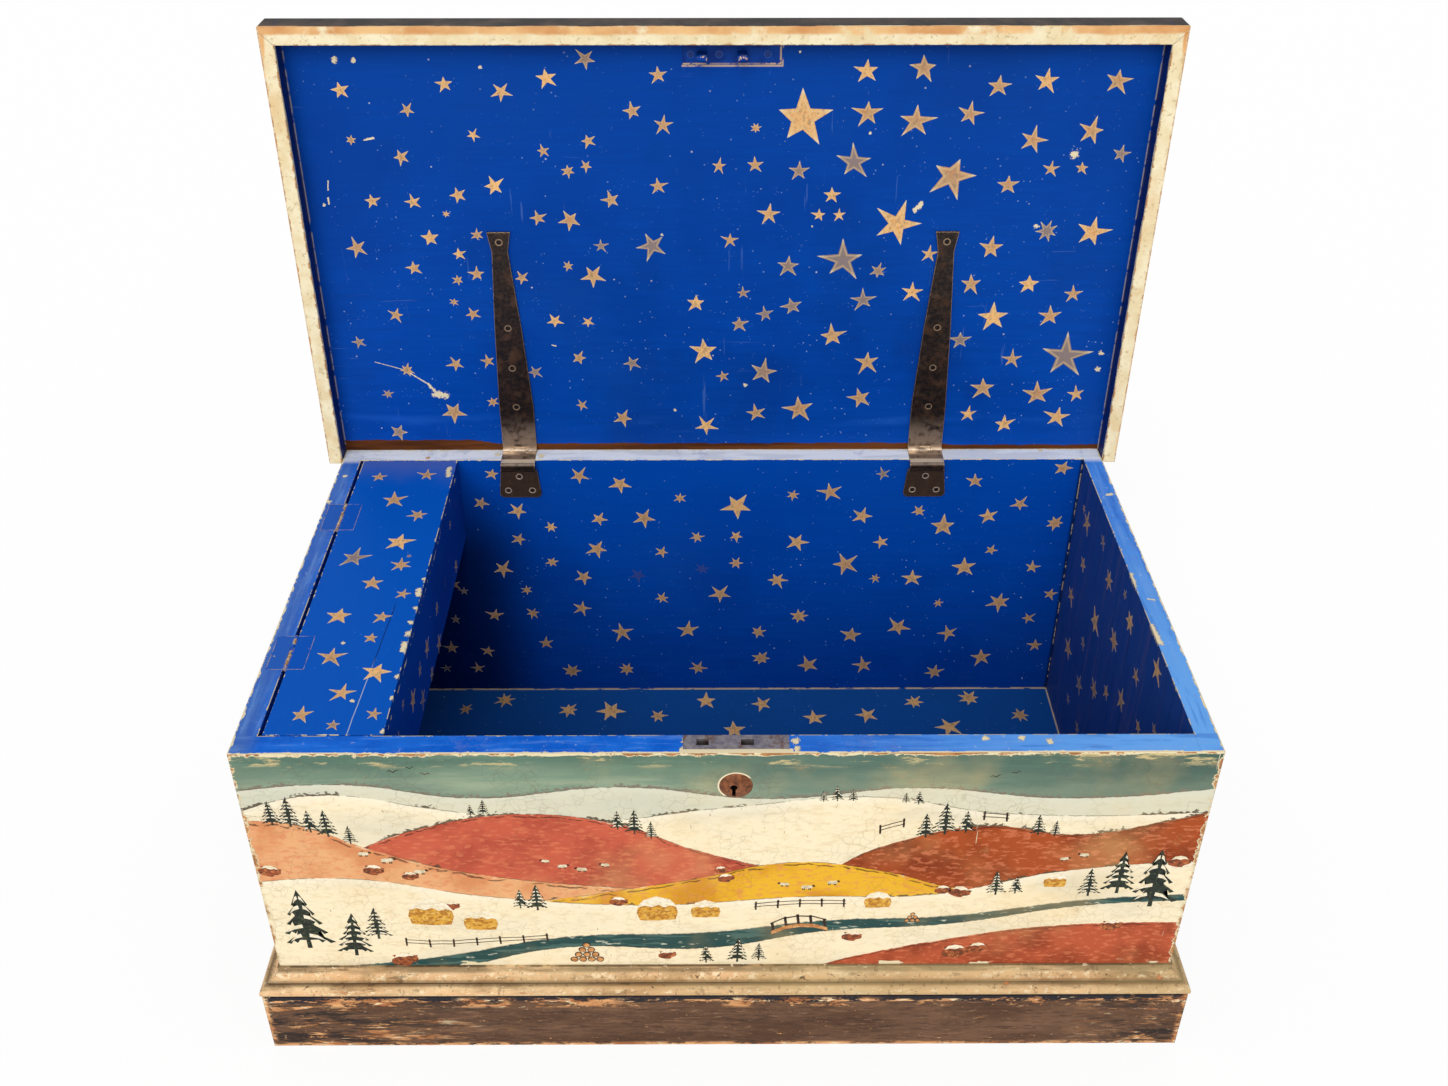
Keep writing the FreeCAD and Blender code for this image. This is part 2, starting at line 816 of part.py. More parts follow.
def cranked_leaf(node, side):
    """The leaf on the rim: it cranks over the inner edge and screws to the back board."""
    made = body(node)
    root = strap_place * side
    foot = s.leaf_foot_width / 2
    head = s.leaf_head_width / 2
    thick = s.strap_thickness
    crank_y = inner_y - s.crank_reach
    knee_z = rim - s.crank_drop
    joggle_z = knee_z - s.joggle_drop
    slack = thick * s.joggle_drop / (s.joggle_drop + s.crank_reach)
    strip = [
        (leaf_edge, rim),
        (crank_y, rim),
        (crank_y, knee_z),
        (leaf_face, joggle_z),
        (leaf_face, leaf_low),
        (inner_y, leaf_low),
        (inner_y, joggle_z + slack),
        (crank_y + thick, knee_z + slack),
        (crank_y + thick, rim - thick),
        (leaf_edge, rim - thick),
    ]
    pad(made, "YZ", root - foot, root + foot, strip)

    def bend(level_y, level_z):
        return lambda middle, way: (
            abs(way.x) > 0.9 and near(middle.y, level_y) and near(middle.z, level_z)
        )

    round_edges(made, s.crank_round, bend(crank_y, rim))
    round_edges(made, s.crank_round - thick, bend(crank_y + thick, rim - thick))
    corner = s.leaf_corner
    for hand in (left, right):
        waste = [
            (root + root_half * hand, rim + s.overrun),
            (root + root_half * hand, leaf_head_z),
            (root + head * hand, leaf_head_z),
            (root + foot * hand, leaf_low + corner),
            (root + (foot - corner) * hand, leaf_low),
            (root + (foot + s.overrun) * hand, leaf_low),
            (root + (foot + s.overrun) * hand, rim + s.overrun),
        ]
        cut(made, "XZ", crank_y - s.overrun, half_depth, waste)
    ends = [(root - root_half, root - third_half), (root + third_half, root + root_half)]
    pad(made, "XY", rim - thick, rim, *[rectangle((a, leaf_edge), (b, hinge_y)) for a, b in ends])
    for a, b in ends:
        pad(made, "YZ", a, b, circles=[((hinge_y, hinge_z), s.barrel_radius)])
    hole = s.hinge_pin_radius + s.hinge_running_gap
    cut(made, "YZ", root - root_half, root + root_half, circles=[((hinge_y, hinge_z), hole)])
    plate_holes(made, "XZ", leaf_face, inner_y, 1, leaf_screw_spots(side))
    return made


for side, word in ((left, "left"), (right, "right")):
    finish(turn_open(strap(word + "_strap", side)), word + "_strap")
    finish(cranked_leaf(word + "_hinge_leaf", side), word + "_hinge_leaf")
    pin = body(word + "_hinge_pin")
    root = strap_place * side
    ring = ((hinge_y, hinge_z), s.hinge_pin_radius)
    pad(pin, "YZ", root - root_half, root + root_half, circles=[ring])
    finish(pin, word + "_hinge_pin")
strap_spots = strap_screw_spots(left) + strap_screw_spots(right)
finish(turn_open(screws("strap_screws", "XY", hinge_z, 1, strap_spots)), "strap_screws")
leaf_spots = leaf_screw_spots(left) + leaf_screw_spots(right)
finish(screws("hinge_leaf_screws", "XZ", leaf_face, 1, leaf_spots), "hinge_leaf_screws")

# Lid: two boards glued edge to edge, with lips on three edges
lid_joint = (lid_front + lid_rear) / 2
link_face = lid_under + s.link_recess - s.link_thickness
link_plan = rectangle(
    (s.lock_place - s.link_length / 2, lid_front),
    (s.lock_place + s.link_length / 2, lid_front + s.link_width),
)
link_screw_shares = (-0.42, -0.13, 0.36)
link_screw_spots = [(s.lock_place + s.link_length * share, slot_y) for share in link_screw_shares]


def lid_board(node, y0, y1):
    """One board of the lid, drilled for the strap screws that reach it."""
    made = body(node)
    pad(made, "XY", lid_under, lid_top, rectangle((-lid_half, y0), (lid_half, y1)))
    drill(made, "XY", lid_under, hinge_z + s.screw_length + s.screw_hole_gap, strap_spots)
    return made


rear_board = lid_board("lid_board_rear", lid_joint, lid_rear)
for side in (left, right):
    root = strap_place * side
    gain_half = root_half + s.barrel_gap / 2
    cut(
        rear_board, "XY", lid_under, hinge_z + s.barrel_radius + s.barrel_gap,
        rectangle((root - gain_half, leaf_edge), (root + gain_half, lid_rear)),
    )
finish(turn_open(rear_board), "lid_board_rear")
fore_board = lid_board("lid_board_front", lid_front, lid_joint)
cut(fore_board, "XY", lid_under, lid_under + s.link_recess, link_plan)
drill(fore_board, "XY", lid_under, link_face + s.screw_length + s.screw_hole_gap, link_screw_spots)
finish(turn_open(fore_board), "lid_board_front")


def top_edge(level, axis):
    """Chooses the outer top edge of a lip that lies at a level of one axis."""
    return lambda middle, way: near(middle.z, lid_top) and near(abs(getattr(middle, axis)), level)


lip = body("lid_lip_front")
plan = [(-lid_outer, lip_front), (lid_outer, lip_front), (lid_half, lid_front), (-lid_half, lid_front)]
pad(lip, "XY", lip_low, lid_top, plan)
round_edges(lip, s.lip_round, top_edge(-lip_front, "y"))
finish(turn_open(lip), "lid_lip_front")
for side, word in ((left, "left"), (right, "right")):
    lip = body("lid_lip_" + word)
    plan = [
        (lid_half * side, lid_front),
        (lid_outer * side, lip_front),
        (lid_outer * side, lid_rear),
        (lid_half * side, lid_rear),
    ]
    pad(lip, "XY", lip_low, lid_top, plan)
    round_edges(lip, s.lip_round, top_edge(lid_outer, "x"))
    finish(turn_open(lip), "lid_lip_" + word)

# Link plate with two hoops, let into the lid's underside
link = body("lock_link_plate")
pad(link, "XY", link_face, link_face + s.link_thickness, link_plan)
plate_holes(link, "XY", link_face, link_face + s.link_thickness, 1, link_screw_spots)
finish(turn_open(link), "lock_link_plate")
finish(turn_open(screws("link_plate_screws", "XY", link_face, 1, link_screw_spots)), "link_plate_screws")


def staple(name, middle):
    """A hoop whose eye lies along the bolt."""
    made = body(name)
    half = s.staple_width / 2
    wall = s.staple_wall
    low = link_face - s.staple_height
    hoop = [
        (slot_y - half, link_face),
        (slot_y - half, low),
        (slot_y + half, low),
        (slot_y + half, link_face),
        (slot_y + half - wall, link_face),
        (slot_y + half - wall, low + wall),
        (slot_y - half + wall, low + wall),
        (slot_y - half + wall, link_face),
    ]
    pad(made, "YZ", middle - s.staple_length / 2, middle + s.staple_length / 2, hoop)

    def hoop_corner(centre, way):
        sideways = near(abs(centre.y - slot_y.number), half)
        return abs(way.x) > 0.9 and near(centre.z, low) and sideways

    round_edges(made, s.staple_round, hoop_corner)
    return made


hoops = [staple("lock_staple", middle) for middle in slots]
finish(turn_open(group("lock_staples", hoops)), "lock_staples")

# Lock: top plate and cap in one piece, let into the front board, over a shallow case
plate = body("lock_plate")
angle_section = [
    (selvedge_y, rim),
    (selvedge_y, case_top),
    (cap_y, case_top),
    (cap_y, cap_low),
    (-inner_y, cap_low),
    (-inner_y, rim),
]
pad(plate, "YZ", lock_left, lock_right, angle_section)
slot_half_length = s.slot_length / 2
slot_half_width = s.slot_width / 2
slot_front = slot_y - slot_half_width
slot_back = slot_y + slot_half_width
slot_plans = [
    rectangle((x - slot_half_length, slot_front), (x + slot_half_length, slot_back)) for x in slots
]
cut(plate, "XY", case_top, rim, *slot_plans)
plate_holes(plate, "XZ", -inner_y, cap_y, -1, lock_screw_spots)
finish(plate, "lock_plate")
finish(screws("lock_screws", "XZ", -inner_y, -1, lock_screw_spots), "lock_screws")

bolt_front = slot_y - s.bolt_thickness / 2
bolt_back = slot_y + s.bolt_thickness / 2
bar_top = rim - s.bar_drop
bar_low = bar_top - s.bar_height
prong_starts = [x + slot_half_length + s.prong_gap for x in slots]
bar_left = prong_starts[0] + s.prong_length
bar_right = prong_starts[1] + s.prong_length + s.upright_width
guide_top = bar_low - s.bolt_rest_gap
spring_low = bar_top + s.spring_gap
spring_high = spring_low + s.spring_bow + s.spring_thickness
spring_left = bar_left + s.upright_width + s.spring_end_gap
spring_right = slots[1] - slot_half_length
spring_middle = (spring_left + spring_right) / 2

wall = s.case_wall
case = body("lock_case")
pad(case, "XZ", case_y, cap_y, rectangle((case_left, case_low), (case_right, case_top)))
hollow = rectangle((case_left + wall, case_low + wall), (case_right - wall, case_top))
cut(case, "XZ", case_y + wall, cap_y, hollow)
keyhole(cut, case, case_y, case_y + wall)
studs = [
    rectangle((x, low), (x + s.guide_width, low + s.guide_height))
    for x, low in (
        (bar_left, guide_top - s.guide_height),
        (bar_right - s.bolt_travel - s.guide_width, guide_top - s.guide_height),
        (spring_middle - s.guide_width / 2, spring_high),
    )
]
pad(case, "XZ", case_y + wall, bolt_back, *studs)
finish(case, "lock_case")

# Bolt: a bar with two prongs on uprights; it slides to the left into the hoops
bolt = body("lock_bolt")
prong_top = rim - s.prong_drop
prong_low = prong_top - s.prong_height
pad(bolt, "XZ", bolt_front, bolt_back, rectangle((bar_left, bar_low), (bar_right, bar_top)))
for x in prong_starts:
    root = x + s.prong_length
    end = root + s.upright_width
    pad(bolt, "XZ", bolt_front, bolt_back, rectangle((root, bar_low), (end, prong_top)))
    pad(bolt, "XZ", bolt_front, bolt_back, rectangle((x, prong_low), (end, prong_top)))
talon = rectangle((s.keyhole_place, bar_low), (s.keyhole_place + s.talon_width, bar_low + s.talon_height))
cut(bolt, "XZ", bolt_front, bolt_back, talon)
finish(bolt, "lock_bolt")

# Bowed spring over the bar, held down by a stud, and the pin that a hollow key turns on
spring = body("lock_spring")
slope = s.spring_bow
bow = [
    (spring_left, spring_low),
    (spring_left + slope, spring_high - s.spring_thickness),
    (spring_right - slope, spring_high - s.spring_thickness),
    (spring_right, spring_low),
    (spring_right, spring_low + s.spring_thickness),
    (spring_right - slope, spring_high),
    (spring_left + slope, spring_high),
    (spring_left, spring_low + s.spring_thickness),
]
pad(spring, "XZ", bolt_front, bolt_back, bow)
finish(spring, "lock_spring")
drill_pin = body("lock_drill_pin")
pin_ring = ((s.keyhole_place, keyhole_z), s.drill_pin_radius)
pad(drill_pin, "XZ", cap_y - s.drill_pin_length, cap_y, circles=[pin_ring])
finish(drill_pin, "lock_drill_pin")

# Domed escutcheon, a thin pressed shell over the keyhole
rise = s.escutcheon_height
dome_radius = (s.escutcheon_radius * s.escutcheon_radius + rise * rise) / (rise * 2)
dome_z = rim - s.escutcheon_drop
dome_y = -half_depth - rise + dome_radius


def ball(name, radius):
    made = doc.addObject("Part::Sphere", name)
    bind(made, "Radius", radius)
    bind(made, "Placement.Base.x", s.lock_place)
    bind(made, "Placement.Base.y", dome_y)
    bind(made, "Placement.Base.z", dome_z)
    return made


inner_ball = ball("dome_inside", dome_radius - s.escutcheon_thickness)
shell = less("dome_shell", ball("dome_outside", dome_radius), inner_ball)
reach = s.escutcheon_radius + s.overrun
space_low = (s.lock_place - reach, -half_depth - reach, dome_z - reach)
dome = doc.addObject("Part::Common", "dome")
dome.Base = shell
dome.Tool = box("dome_space", space_low, (s.lock_place + reach, -half_depth, dome_z + reach))
key_way = body("key_way")
keyhole(pad, key_way, -half_depth - reach, -half_depth)
finish(less("escutcheon", dome, key_way), "escutcheon")

# Drop handles on the ends
handle_x = half_width + s.handle_pivot_out
ear_start = handle_end + s.handle_rod_radius + s.handle_ear_gap
ear_stop = ear_start + s.handle_ear_length


def handle_plate(node, side):
    """A back plate with two ears that carry the handle's ends."""
    made = body(node)
    plate_face = (half_width + s.handle_plate_thickness) * side
    half = s.handle_plate_length / 2
    tall = s.handle_plate_height / 2
    back = rectangle((-half, handle_z - tall), (half, handle_z + tall))
    pad(made, "YZ", half_width * side, plate_face, back)
    radius = s.handle_ear_radius
    eye = (handle_x * side, handle_z)
    tab = rectangle((plate_face, handle_z - radius), (handle_x * side, handle_z + radius))
    for place in (left, right):
        start = ear_start * place
        stop = ear_stop * place
        pad(made, "XZ", start, stop, tab)
        pad(made, "XZ", start, stop, circles=[(eye, radius)])
        cut(made, "XZ", start, stop, circles=[(eye, s.handle_pivot_radius + s.handle_running_gap)])
    plate_holes(made, "YZ", plate_face, half_width * side, -side, handle_screw_spots)
    return made


def handle(node, side):
    """A round rod bent to a U, with an eye and a pivot at each end."""
    made = body(node)
    out = handle_x * side
    low = handle_z - s.handle_fall
    turn = s.handle_corner
    end = handle_end
    path = sketch_on(made, "YZ", out)
    spots = [
        (-end, handle_z),
        (-end, low + turn),
        (turn - end, low),
        (end - turn, low),
        (end, low + turn),
        (end, handle_z),
    ]
    vectors = [FreeCAD.Vector(size(y).number, size(z).number, 0) for y, z in spots]
    upward = FreeCAD.Vector(0, 0, 1)
    quarter = math.pi / 2
    for number, first in enumerate((0, 2, 4)):
        path.addGeometry(Part.LineSegment(vectors[first], vectors[first + 1]), False)
        fix_point(path, number, 1, *spots[first])
        fix_point(path, number, 2, *spots[first + 1])
    for number, (middle, begin) in enumerate((((turn - end), 2 * quarter), ((end - turn), 3 * quarter))):
        ring = Part.Circle(FreeCAD.Vector(middle.number, (low + turn).number, 0), upward, turn.number)
        arc = path.addGeometry(Part.ArcOfCircle(ring, begin, begin + quarter), False)
        path.addConstraint(Sketcher.Constraint("Coincident", number, 2, arc, 1))
        path.addConstraint(Sketcher.Constraint("Coincident", arc, 2, number + 1, 1))
        rule = path.addConstraint(Sketcher.Constraint("Radius", arc, turn.number))
        bind(path, "Constraints[%d]" % rule, turn)
    section = sketch_on(made, "XY", handle_z)
    draw_circle(section, (out, -end), s.handle_rod_radius)
    rod = made.newObject("PartDesign::AdditivePipe", node + "_rod")
    rod.Profile = section
    rod.Spine = (path, ["Edge%d" % (number + 1) for number in range(path.GeometryCount)])
    made.Tip = rod
    eye = (out, handle_z)
    radius = s.handle_rod_radius
    for place in (left, right):
        middle = end * place
        pad(made, "XZ", middle - radius, middle + radius, circles=[(eye, radius)])
        pad(made, "XZ", middle, ear_stop * place, circles=[(eye, s.handle_pivot_radius)])
    return made


for side, word in ((left, "left"), (right, "right")):
    finish(handle_plate(word + "_handle_plate", side), word + "_handle_plate")
    finish(handle(word + "_handle", side), word + "_handle")
    plate_face = (half_width + s.handle_plate_thickness) * side
    node = word + "_handle_screws"
    finish(screws(node, "YZ", plate_face, -side, handle_screw_spots), node)

doc.recompute()
for item in doc.Objects:
    if "Invalid" in item.State or "Error" in item.State:
        raise RuntimeError("%s did not build: %s" % (item.Label, item.State))
for piece in finished:
    if piece.Shape.isNull() or not piece.Shape.isValid():
        raise RuntimeError("%s has no sound shape" % piece.Label)
for piece in finished:
    piece.Shape.exportStep("parts/%s.step" % piece.Label)
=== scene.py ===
import math
import random

import bpy
from mathutils import Matrix, Vector


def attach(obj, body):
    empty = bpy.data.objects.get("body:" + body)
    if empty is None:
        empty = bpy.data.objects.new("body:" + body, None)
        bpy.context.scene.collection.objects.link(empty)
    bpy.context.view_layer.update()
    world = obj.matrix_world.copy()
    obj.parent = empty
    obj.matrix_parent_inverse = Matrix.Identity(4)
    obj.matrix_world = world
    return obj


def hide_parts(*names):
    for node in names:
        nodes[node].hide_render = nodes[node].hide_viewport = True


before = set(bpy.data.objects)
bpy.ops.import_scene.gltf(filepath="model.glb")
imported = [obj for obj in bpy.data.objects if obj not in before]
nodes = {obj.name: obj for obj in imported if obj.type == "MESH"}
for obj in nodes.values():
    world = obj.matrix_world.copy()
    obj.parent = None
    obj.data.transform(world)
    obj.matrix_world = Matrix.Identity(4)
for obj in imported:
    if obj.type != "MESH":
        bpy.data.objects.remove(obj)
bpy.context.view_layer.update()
scene = bpy.context.scene
bpy.ops.object.select_all(action="DESELECT")

# Camera. It stands where the photograph was taken from: a little above the open lid's top edge,
# in front of the chest, looking down into it. The values are in the photograph's pixels and metres.
PHOTO_WIDTH, PHOTO_HEIGHT = 1448, 1086
FOCAL_PIXELS, SENSOR_WIDTH = 1416.4, 36.0
VIEW_X, VIEW_Y = 715.4, 408.3
EYE = Vector((-0.0137, -1.1962, 1.3663))
LOOK_DOWN, LOOK_RIGHT = math.radians(31.747), math.radians(0.204)

bpy.ops.object.camera_add(location=EYE, rotation=(math.pi / 2 - LOOK_DOWN, 0, -LOOK_RIGHT))
camera = bpy.context.object
camera.data.sensor_width = SENSOR_WIDTH
camera.data.lens = FOCAL_PIXELS * SENSOR_WIDTH / PHOTO_WIDTH
camera.data.shift_x = (PHOTO_WIDTH / 2 - VIEW_X) / PHOTO_WIDTH
camera.data.shift_y = (VIEW_Y - PHOTO_HEIGHT / 2) / PHOTO_WIDTH
scene.camera = camera
camera_turn = camera.rotation_euler.to_matrix()


def seen_at(pixel_x, pixel_y, origin, out):
    """Where a pixel's line of sight meets a plane face, and how many metres a pixel is there."""
    line = camera_turn @ Vector(((pixel_x - VIEW_X) / FOCAL_PIXELS, (VIEW_Y - pixel_y) / FOCAL_PIXELS, -1))
    far = (Vector(origin) - EYE).dot(out) / line.dot(out)
    return EYE + line * far, far / FOCAL_PIXELS


# Studio. A pale floor under a pale room, and one wide soft lamp above the front, which reaches the
# back board and the floor of the chest as it does in the photograph.
scene.view_settings.view_transform = "Standard"
room = bpy.data.worlds.new("studio_room")
scene.world = room
room.use_nodes = True
room_light = room.node_tree.nodes["Background"]
room_light.inputs["Color"].default_value = (1, 1, 1, 1)
room_rays = room.node_tree.nodes.new("ShaderNodeLightPath")
room_strength = room.node_tree.nodes.new("ShaderNodeMapRange")
room_strength.inputs["To Min"].default_value = 0.56
room_strength.inputs["To Max"].default_value = 1.0
room.node_tree.links.new(room_rays.outputs["Is Camera Ray"], room_strength.inputs["Value"])
room.node_tree.links.new(room_strength.outputs["Result"], room_light.inputs["Strength"])

bpy.ops.object.light_add(type="SUN", rotation=(math.radians(50), math.radians(-13), 0))
soft_lamp = bpy.context.object
soft_lamp.data.energy = 1.6
soft_lamp.data.angle = math.radians(44)

bpy.ops.mesh.primitive_circle_add(vertices=96, radius=9, fill_type="NGON")
studio_floor = bpy.context.object
studio_floor.name = "studio_floor"
floor_finish = bpy.data.materials.new("pale_floor")
floor_finish.use_nodes = True
floor_tree = floor_finish.node_tree
floor_tree.nodes["Principled BSDF"].inputs["Base Color"].default_value = (0.86, 0.86, 0.86, 1)
floor_tree.nodes["Principled BSDF"].inputs["Roughness"].default_value = 0.9
floor_glow = floor_tree.nodes.new("ShaderNodeEmission")
floor_glow.inputs["Strength"].default_value = 1.035
floor_rays = floor_tree.nodes.new("ShaderNodeLightPath")
floor_share = floor_tree.nodes.new("ShaderNodeMath")
floor_share.operation = "MULTIPLY"
floor_share.inputs[1].default_value = 0.86
floor_mix = floor_tree.nodes.new("ShaderNodeMixShader")
floor_tree.links.new(floor_rays.outputs["Is Camera Ray"], floor_share.inputs[0])
floor_tree.links.new(floor_share.outputs["Value"], floor_mix.inputs["Fac"])
floor_tree.links.new(floor_tree.nodes["Principled BSDF"].outputs["BSDF"], floor_mix.inputs[1])
floor_tree.links.new(floor_glow.outputs["Emission"], floor_mix.inputs[2])
floor_tree.links.new(floor_mix.outputs["Shader"], floor_tree.nodes["Material Output"].inputs["Surface"])
studio_floor.data.materials.append(floor_finish)


# Bottom boards. Three pine boards laid lengthwise and nailed up into the walls: painted blue
# above, where the painted side has gone chalky along the joints, and left bare below.
def linear(colour):
    """A colour given as it is seen, 0 to 255, as the light that a shader works in."""
    shares = [value / 255 for value in colour]
    return tuple(v / 12.92 if v < 0.04 else ((v + 0.055) / 1.055) ** 2.4 for v in shares) + (1,)


class Finish:
    """A finish built up in layers from patterns on the piece's own coordinates, in metres."""

    def __init__(self, name):
        self.material = bpy.data.materials.new(name)
        self.material.use_nodes = True
        self.tree = self.material.node_tree
        self.shader = self.tree.nodes["Principled BSDF"]
        self.where = self.node("TexCoord").outputs["Object"]
        split = self.node("SeparateXYZ")
        self.feed(split.inputs[0], self.where)
        self.x, self.y, self.z = split.outputs

    def node(self, kind, **settings):
        made = self.tree.nodes.new("ShaderNode" + kind)
        for name, value in settings.items():
            setattr(made, name, value)
        return made

    def feed(self, socket, value):
        if isinstance(value, bpy.types.NodeSocket):
            self.tree.links.new(value, socket)
        else:
            socket.default_value = value

    def calc(self, how, *values):
        """A sum, product or the like of two or more values, taken in turn."""
        total = values[0]
        for value in values[1:]:
            made = self.node("Math", operation=how)
            self.feed(made.inputs[0], total)
            self.feed(made.inputs[1], value)
            total = made.outputs[0]
        return total

    def add(self, *values):
        return self.calc("ADD", *values)

    def less(self, first, second):
        return self.calc("SUBTRACT", first, second)

    def times(self, *values):
        return self.calc("MULTIPLY", *values)

    def least(self, *values):
        return self.calc("MINIMUM", *values)

    def most(self, *values):
        return self.calc("MAXIMUM", *values)

    def size(self, value):
        return self.calc("ABSOLUTE", value, 0.0)

    def off(self, value, place):
        """How far a value is from a place, to either side."""
        return self.size(self.less(value, place))

    def near(self, value, place, far, close):
        """1 where a value is close to a place, falling to 0 where it is far off."""
        return self.step(self.off(value, place), far, close)

    def step(self, value, low, high):
        """0 at low and 1 at high, turning smoothly between them; low may be the greater."""
        made = self.node("MapRange", interpolation_type="SMOOTHSTEP")
        self.feed(made.inputs["Value"], value)
        self.feed(made.inputs["From Min"], low)
        self.feed(made.inputs["From Max"], high)
        return made.outputs["Result"]

    def cloud(self, scale, stretch=(1, 1, 1), detail=3.0, rough=0.55, shift=0.0, twist=0.0):
        """Soft noise, scale times a metre, drawn out along an axis by a lower number there."""
        place = self.node("Mapping")
        self.feed(place.inputs["Vector"], self.where)
        place.inputs["Scale"].default_value = stretch
        place.inputs["Location"].default_value = (shift, shift * 0.7, shift * 1.3)
        made = self.node("TexNoise")
        self.feed(made.inputs["Vector"], place.outputs[0])
        made.inputs["Scale"].default_value = scale
        made.inputs["Detail"].default_value = detail
        made.inputs["Roughness"].default_value = rough
        made.inputs["Distortion"].default_value = twist
        return made.outputs["Fac"]

    def sway(self, reach, scale, *cloud_values, **cloud_settings):
        """Noise to either side of nothing, at most by half the reach."""
        return self.times(self.less(self.cloud(scale, *cloud_values, **cloud_settings), 0.5), reach)

    def patches(self, low, high, scale, *cloud_values, **cloud_settings):
        """Noise cut off to patches: none below low, full above high."""
        return self.step(self.cloud(scale, *cloud_values, **cloud_settings), low, high)

    def specks(self, scale, size, shift):
        """Round specks, one to a cell, of which noise keeps some."""
        place = self.node("Mapping")
        self.feed(place.inputs["Vector"], self.where)
        place.inputs["Location"].default_value = (shift, shift, shift)
        made = self.node("TexVoronoi")
        self.feed(made.inputs["Vector"], place.outputs[0])
        made.inputs["Scale"].default_value = scale
        kept = self.patches(0.56, 0.6, scale * 0.37, detail=1, shift=shift + 3)
        return self.times(self.step(made.outputs["Distance"], size, size * 0.6), kept)

    def chips_at(self, marks, origin, out):
        """Chips and scratches as photographed: x, y and reach in pixels, and x, y of the far end."""
        total = -9.0
        for x, y, reach, *end in marks:
            start, metre = seen_at(x, y, origin, out)
            run = seen_at(*end, origin, out)[0] - start if end else Vector()
            from_start = self.node("VectorMath", operation="SUBTRACT")
            self.feed(from_start.inputs[0], self.where)
            from_start.inputs[1].default_value = start
            share = self.node("VectorMath", operation="DOT_PRODUCT")
            self.feed(share.inputs[0], from_start.outputs[0])
            share.inputs[1].default_value = run / max(run.length_squared, 1e-9)
            along_run = self.node("VectorMath", operation="SCALE")
            along_run.inputs[0].default_value = run
            self.feed(along_run.inputs["Scale"], self.least(self.most(share.outputs["Value"], 0.0), 1.0))
            gone = self.node("VectorMath", operation="DISTANCE")
            self.feed(gone.inputs[0], from_start.outputs[0])
            self.feed(gone.inputs[1], along_run.outputs[0])
            share_gone = self.calc("DIVIDE", gone.outputs["Value"], reach * metre)
            total = self.most(total, self.less(1.0, share_gone))
        ragged = self.sway(3.2, 340, detail=6, rough=0.75, shift=4)
        return self.step(self.add(total, ragged), 0.25, 0.4)

    def tint(self, amount, first, second):
        """The second colour over the first one, by an amount from 0 to 1."""
        made = self.node("Mix", data_type="RGBA")
        self.feed(made.inputs[0], amount)
        self.feed(made.inputs[6], first if isinstance(first, bpy.types.NodeSocket) else linear(first))
        self.feed(made.inputs[7], second if isinstance(second, bpy.types.NodeSocket) else linear(second))
        return made.outputs[2]

    def layers(self, colour, *coats):
        """Colours over the first, each as its amount, its strength where that isn't 1, and itself."""
        for amount, *strength, over in coats:
            colour = self.tint(self.times(amount, *strength), colour, over)
        return colour

    def relief(self, height, depth, edge_round=0.0):
        """Raises the surface by height, 0 to 1, times depth in metres; arrises may look rounded."""
        made = self.node("Bump")
        made.inputs["Strength"].default_value = 1.0
        made.inputs["Distance"].default_value = depth
        self.feed(made.inputs["Height"], height)
        if edge_round:
            soft = self.node("Bevel", samples=4)
            soft.inputs["Radius"].default_value = edge_round
            self.feed(made.inputs["Normal"], soft.outputs["Normal"])
        self.feed(self.shader.inputs["Normal"], made.outputs["Normal"])

    def coat(self, colour, roughness, metal=0.0, gloss=0.2):
        self.feed(self.shader.inputs["Base Color"], colour)
        self.feed(self.shader.inputs["Roughness"], roughness)
        self.feed(self.shader.inputs["Metallic"], metal)
        self.shader.inputs["Specular IOR Level"].default_value = gloss

    def put_on(self, *pieces):
        for piece in pieces:
            piece.data.materials.clear()
            piece.data.materials.append(self.material)


INNER_HALF_WIDTH, INNER_HALF_DEPTH, FLOOR_TOP, BOARD_JOINT = 0.438, 0.231, 0.038, 0.0847
LENGTHWISE, CROSSWISE, UPRIGHT = (0.07, 1, 1), (1, 0.07, 1), (1, 1, 0.07)
COBALT, DEEP_COBALT = (0, 74, 176), (0, 58, 150)
PRIMER, PINE, PINE_DARK = (240, 224, 184), (208, 152, 98), (150, 100, 60)


def blue_paint(f, grain):
    """Hand-brushed cobalt oil paint: soft deeper and duller clouds, brush marks, pale specks."""
    strokes = f.cloud(210, grain, detail=4, shift=2)
    return f.layers(
        f.tint(f.step(strokes, 0.2, 0.8), (0, 68, 164), COBALT),
        (f.patches(0.44, 0.68, 8, shift=1), 0.5, DEEP_COBALT),
        (f.patches(0.52, 0.74, 5, shift=5), 0.25, (24, 74, 156)),
        (f.patches(0.68, 0.78, 100, (1, 0.15, 0.25), detail=6, rough=0.8, shift=9), 0.3, (60, 112, 196)),
        (f.specks(120, 0.13, 1), 0.7, (150, 180, 225)),
        (f.specks(230, 0.17, 4), 0.45, (112, 152, 216)),
        (f.specks(45, 0.06, 7), 0.9, (225, 226, 228)),
    ), strokes


def bare_wood(f, grain, light=PINE, dark=PINE_DARK):
    """Planed pine with its growth rings drawn out along the board, and a few knots."""
    rings = f.cloud(60, grain, detail=6, rough=0.62, twist=0.5)
    return f.layers(
        f.tint(f.step(rings, 0.3, 0.72), light, dark),
        (f.patches(0.5, 0.7, 420, grain, detail=3, shift=4), 0.35, dark),
    ), rings


def worn_through(f, paint, chips, wood):
    """Paint that has chipped to its cream primer, and in the middle of a chip to the wood."""
    return f.layers(paint, (f.step(chips, 0.15, 0.3), PRIMER), (f.step(chips, 0.62, 0.85), wood))


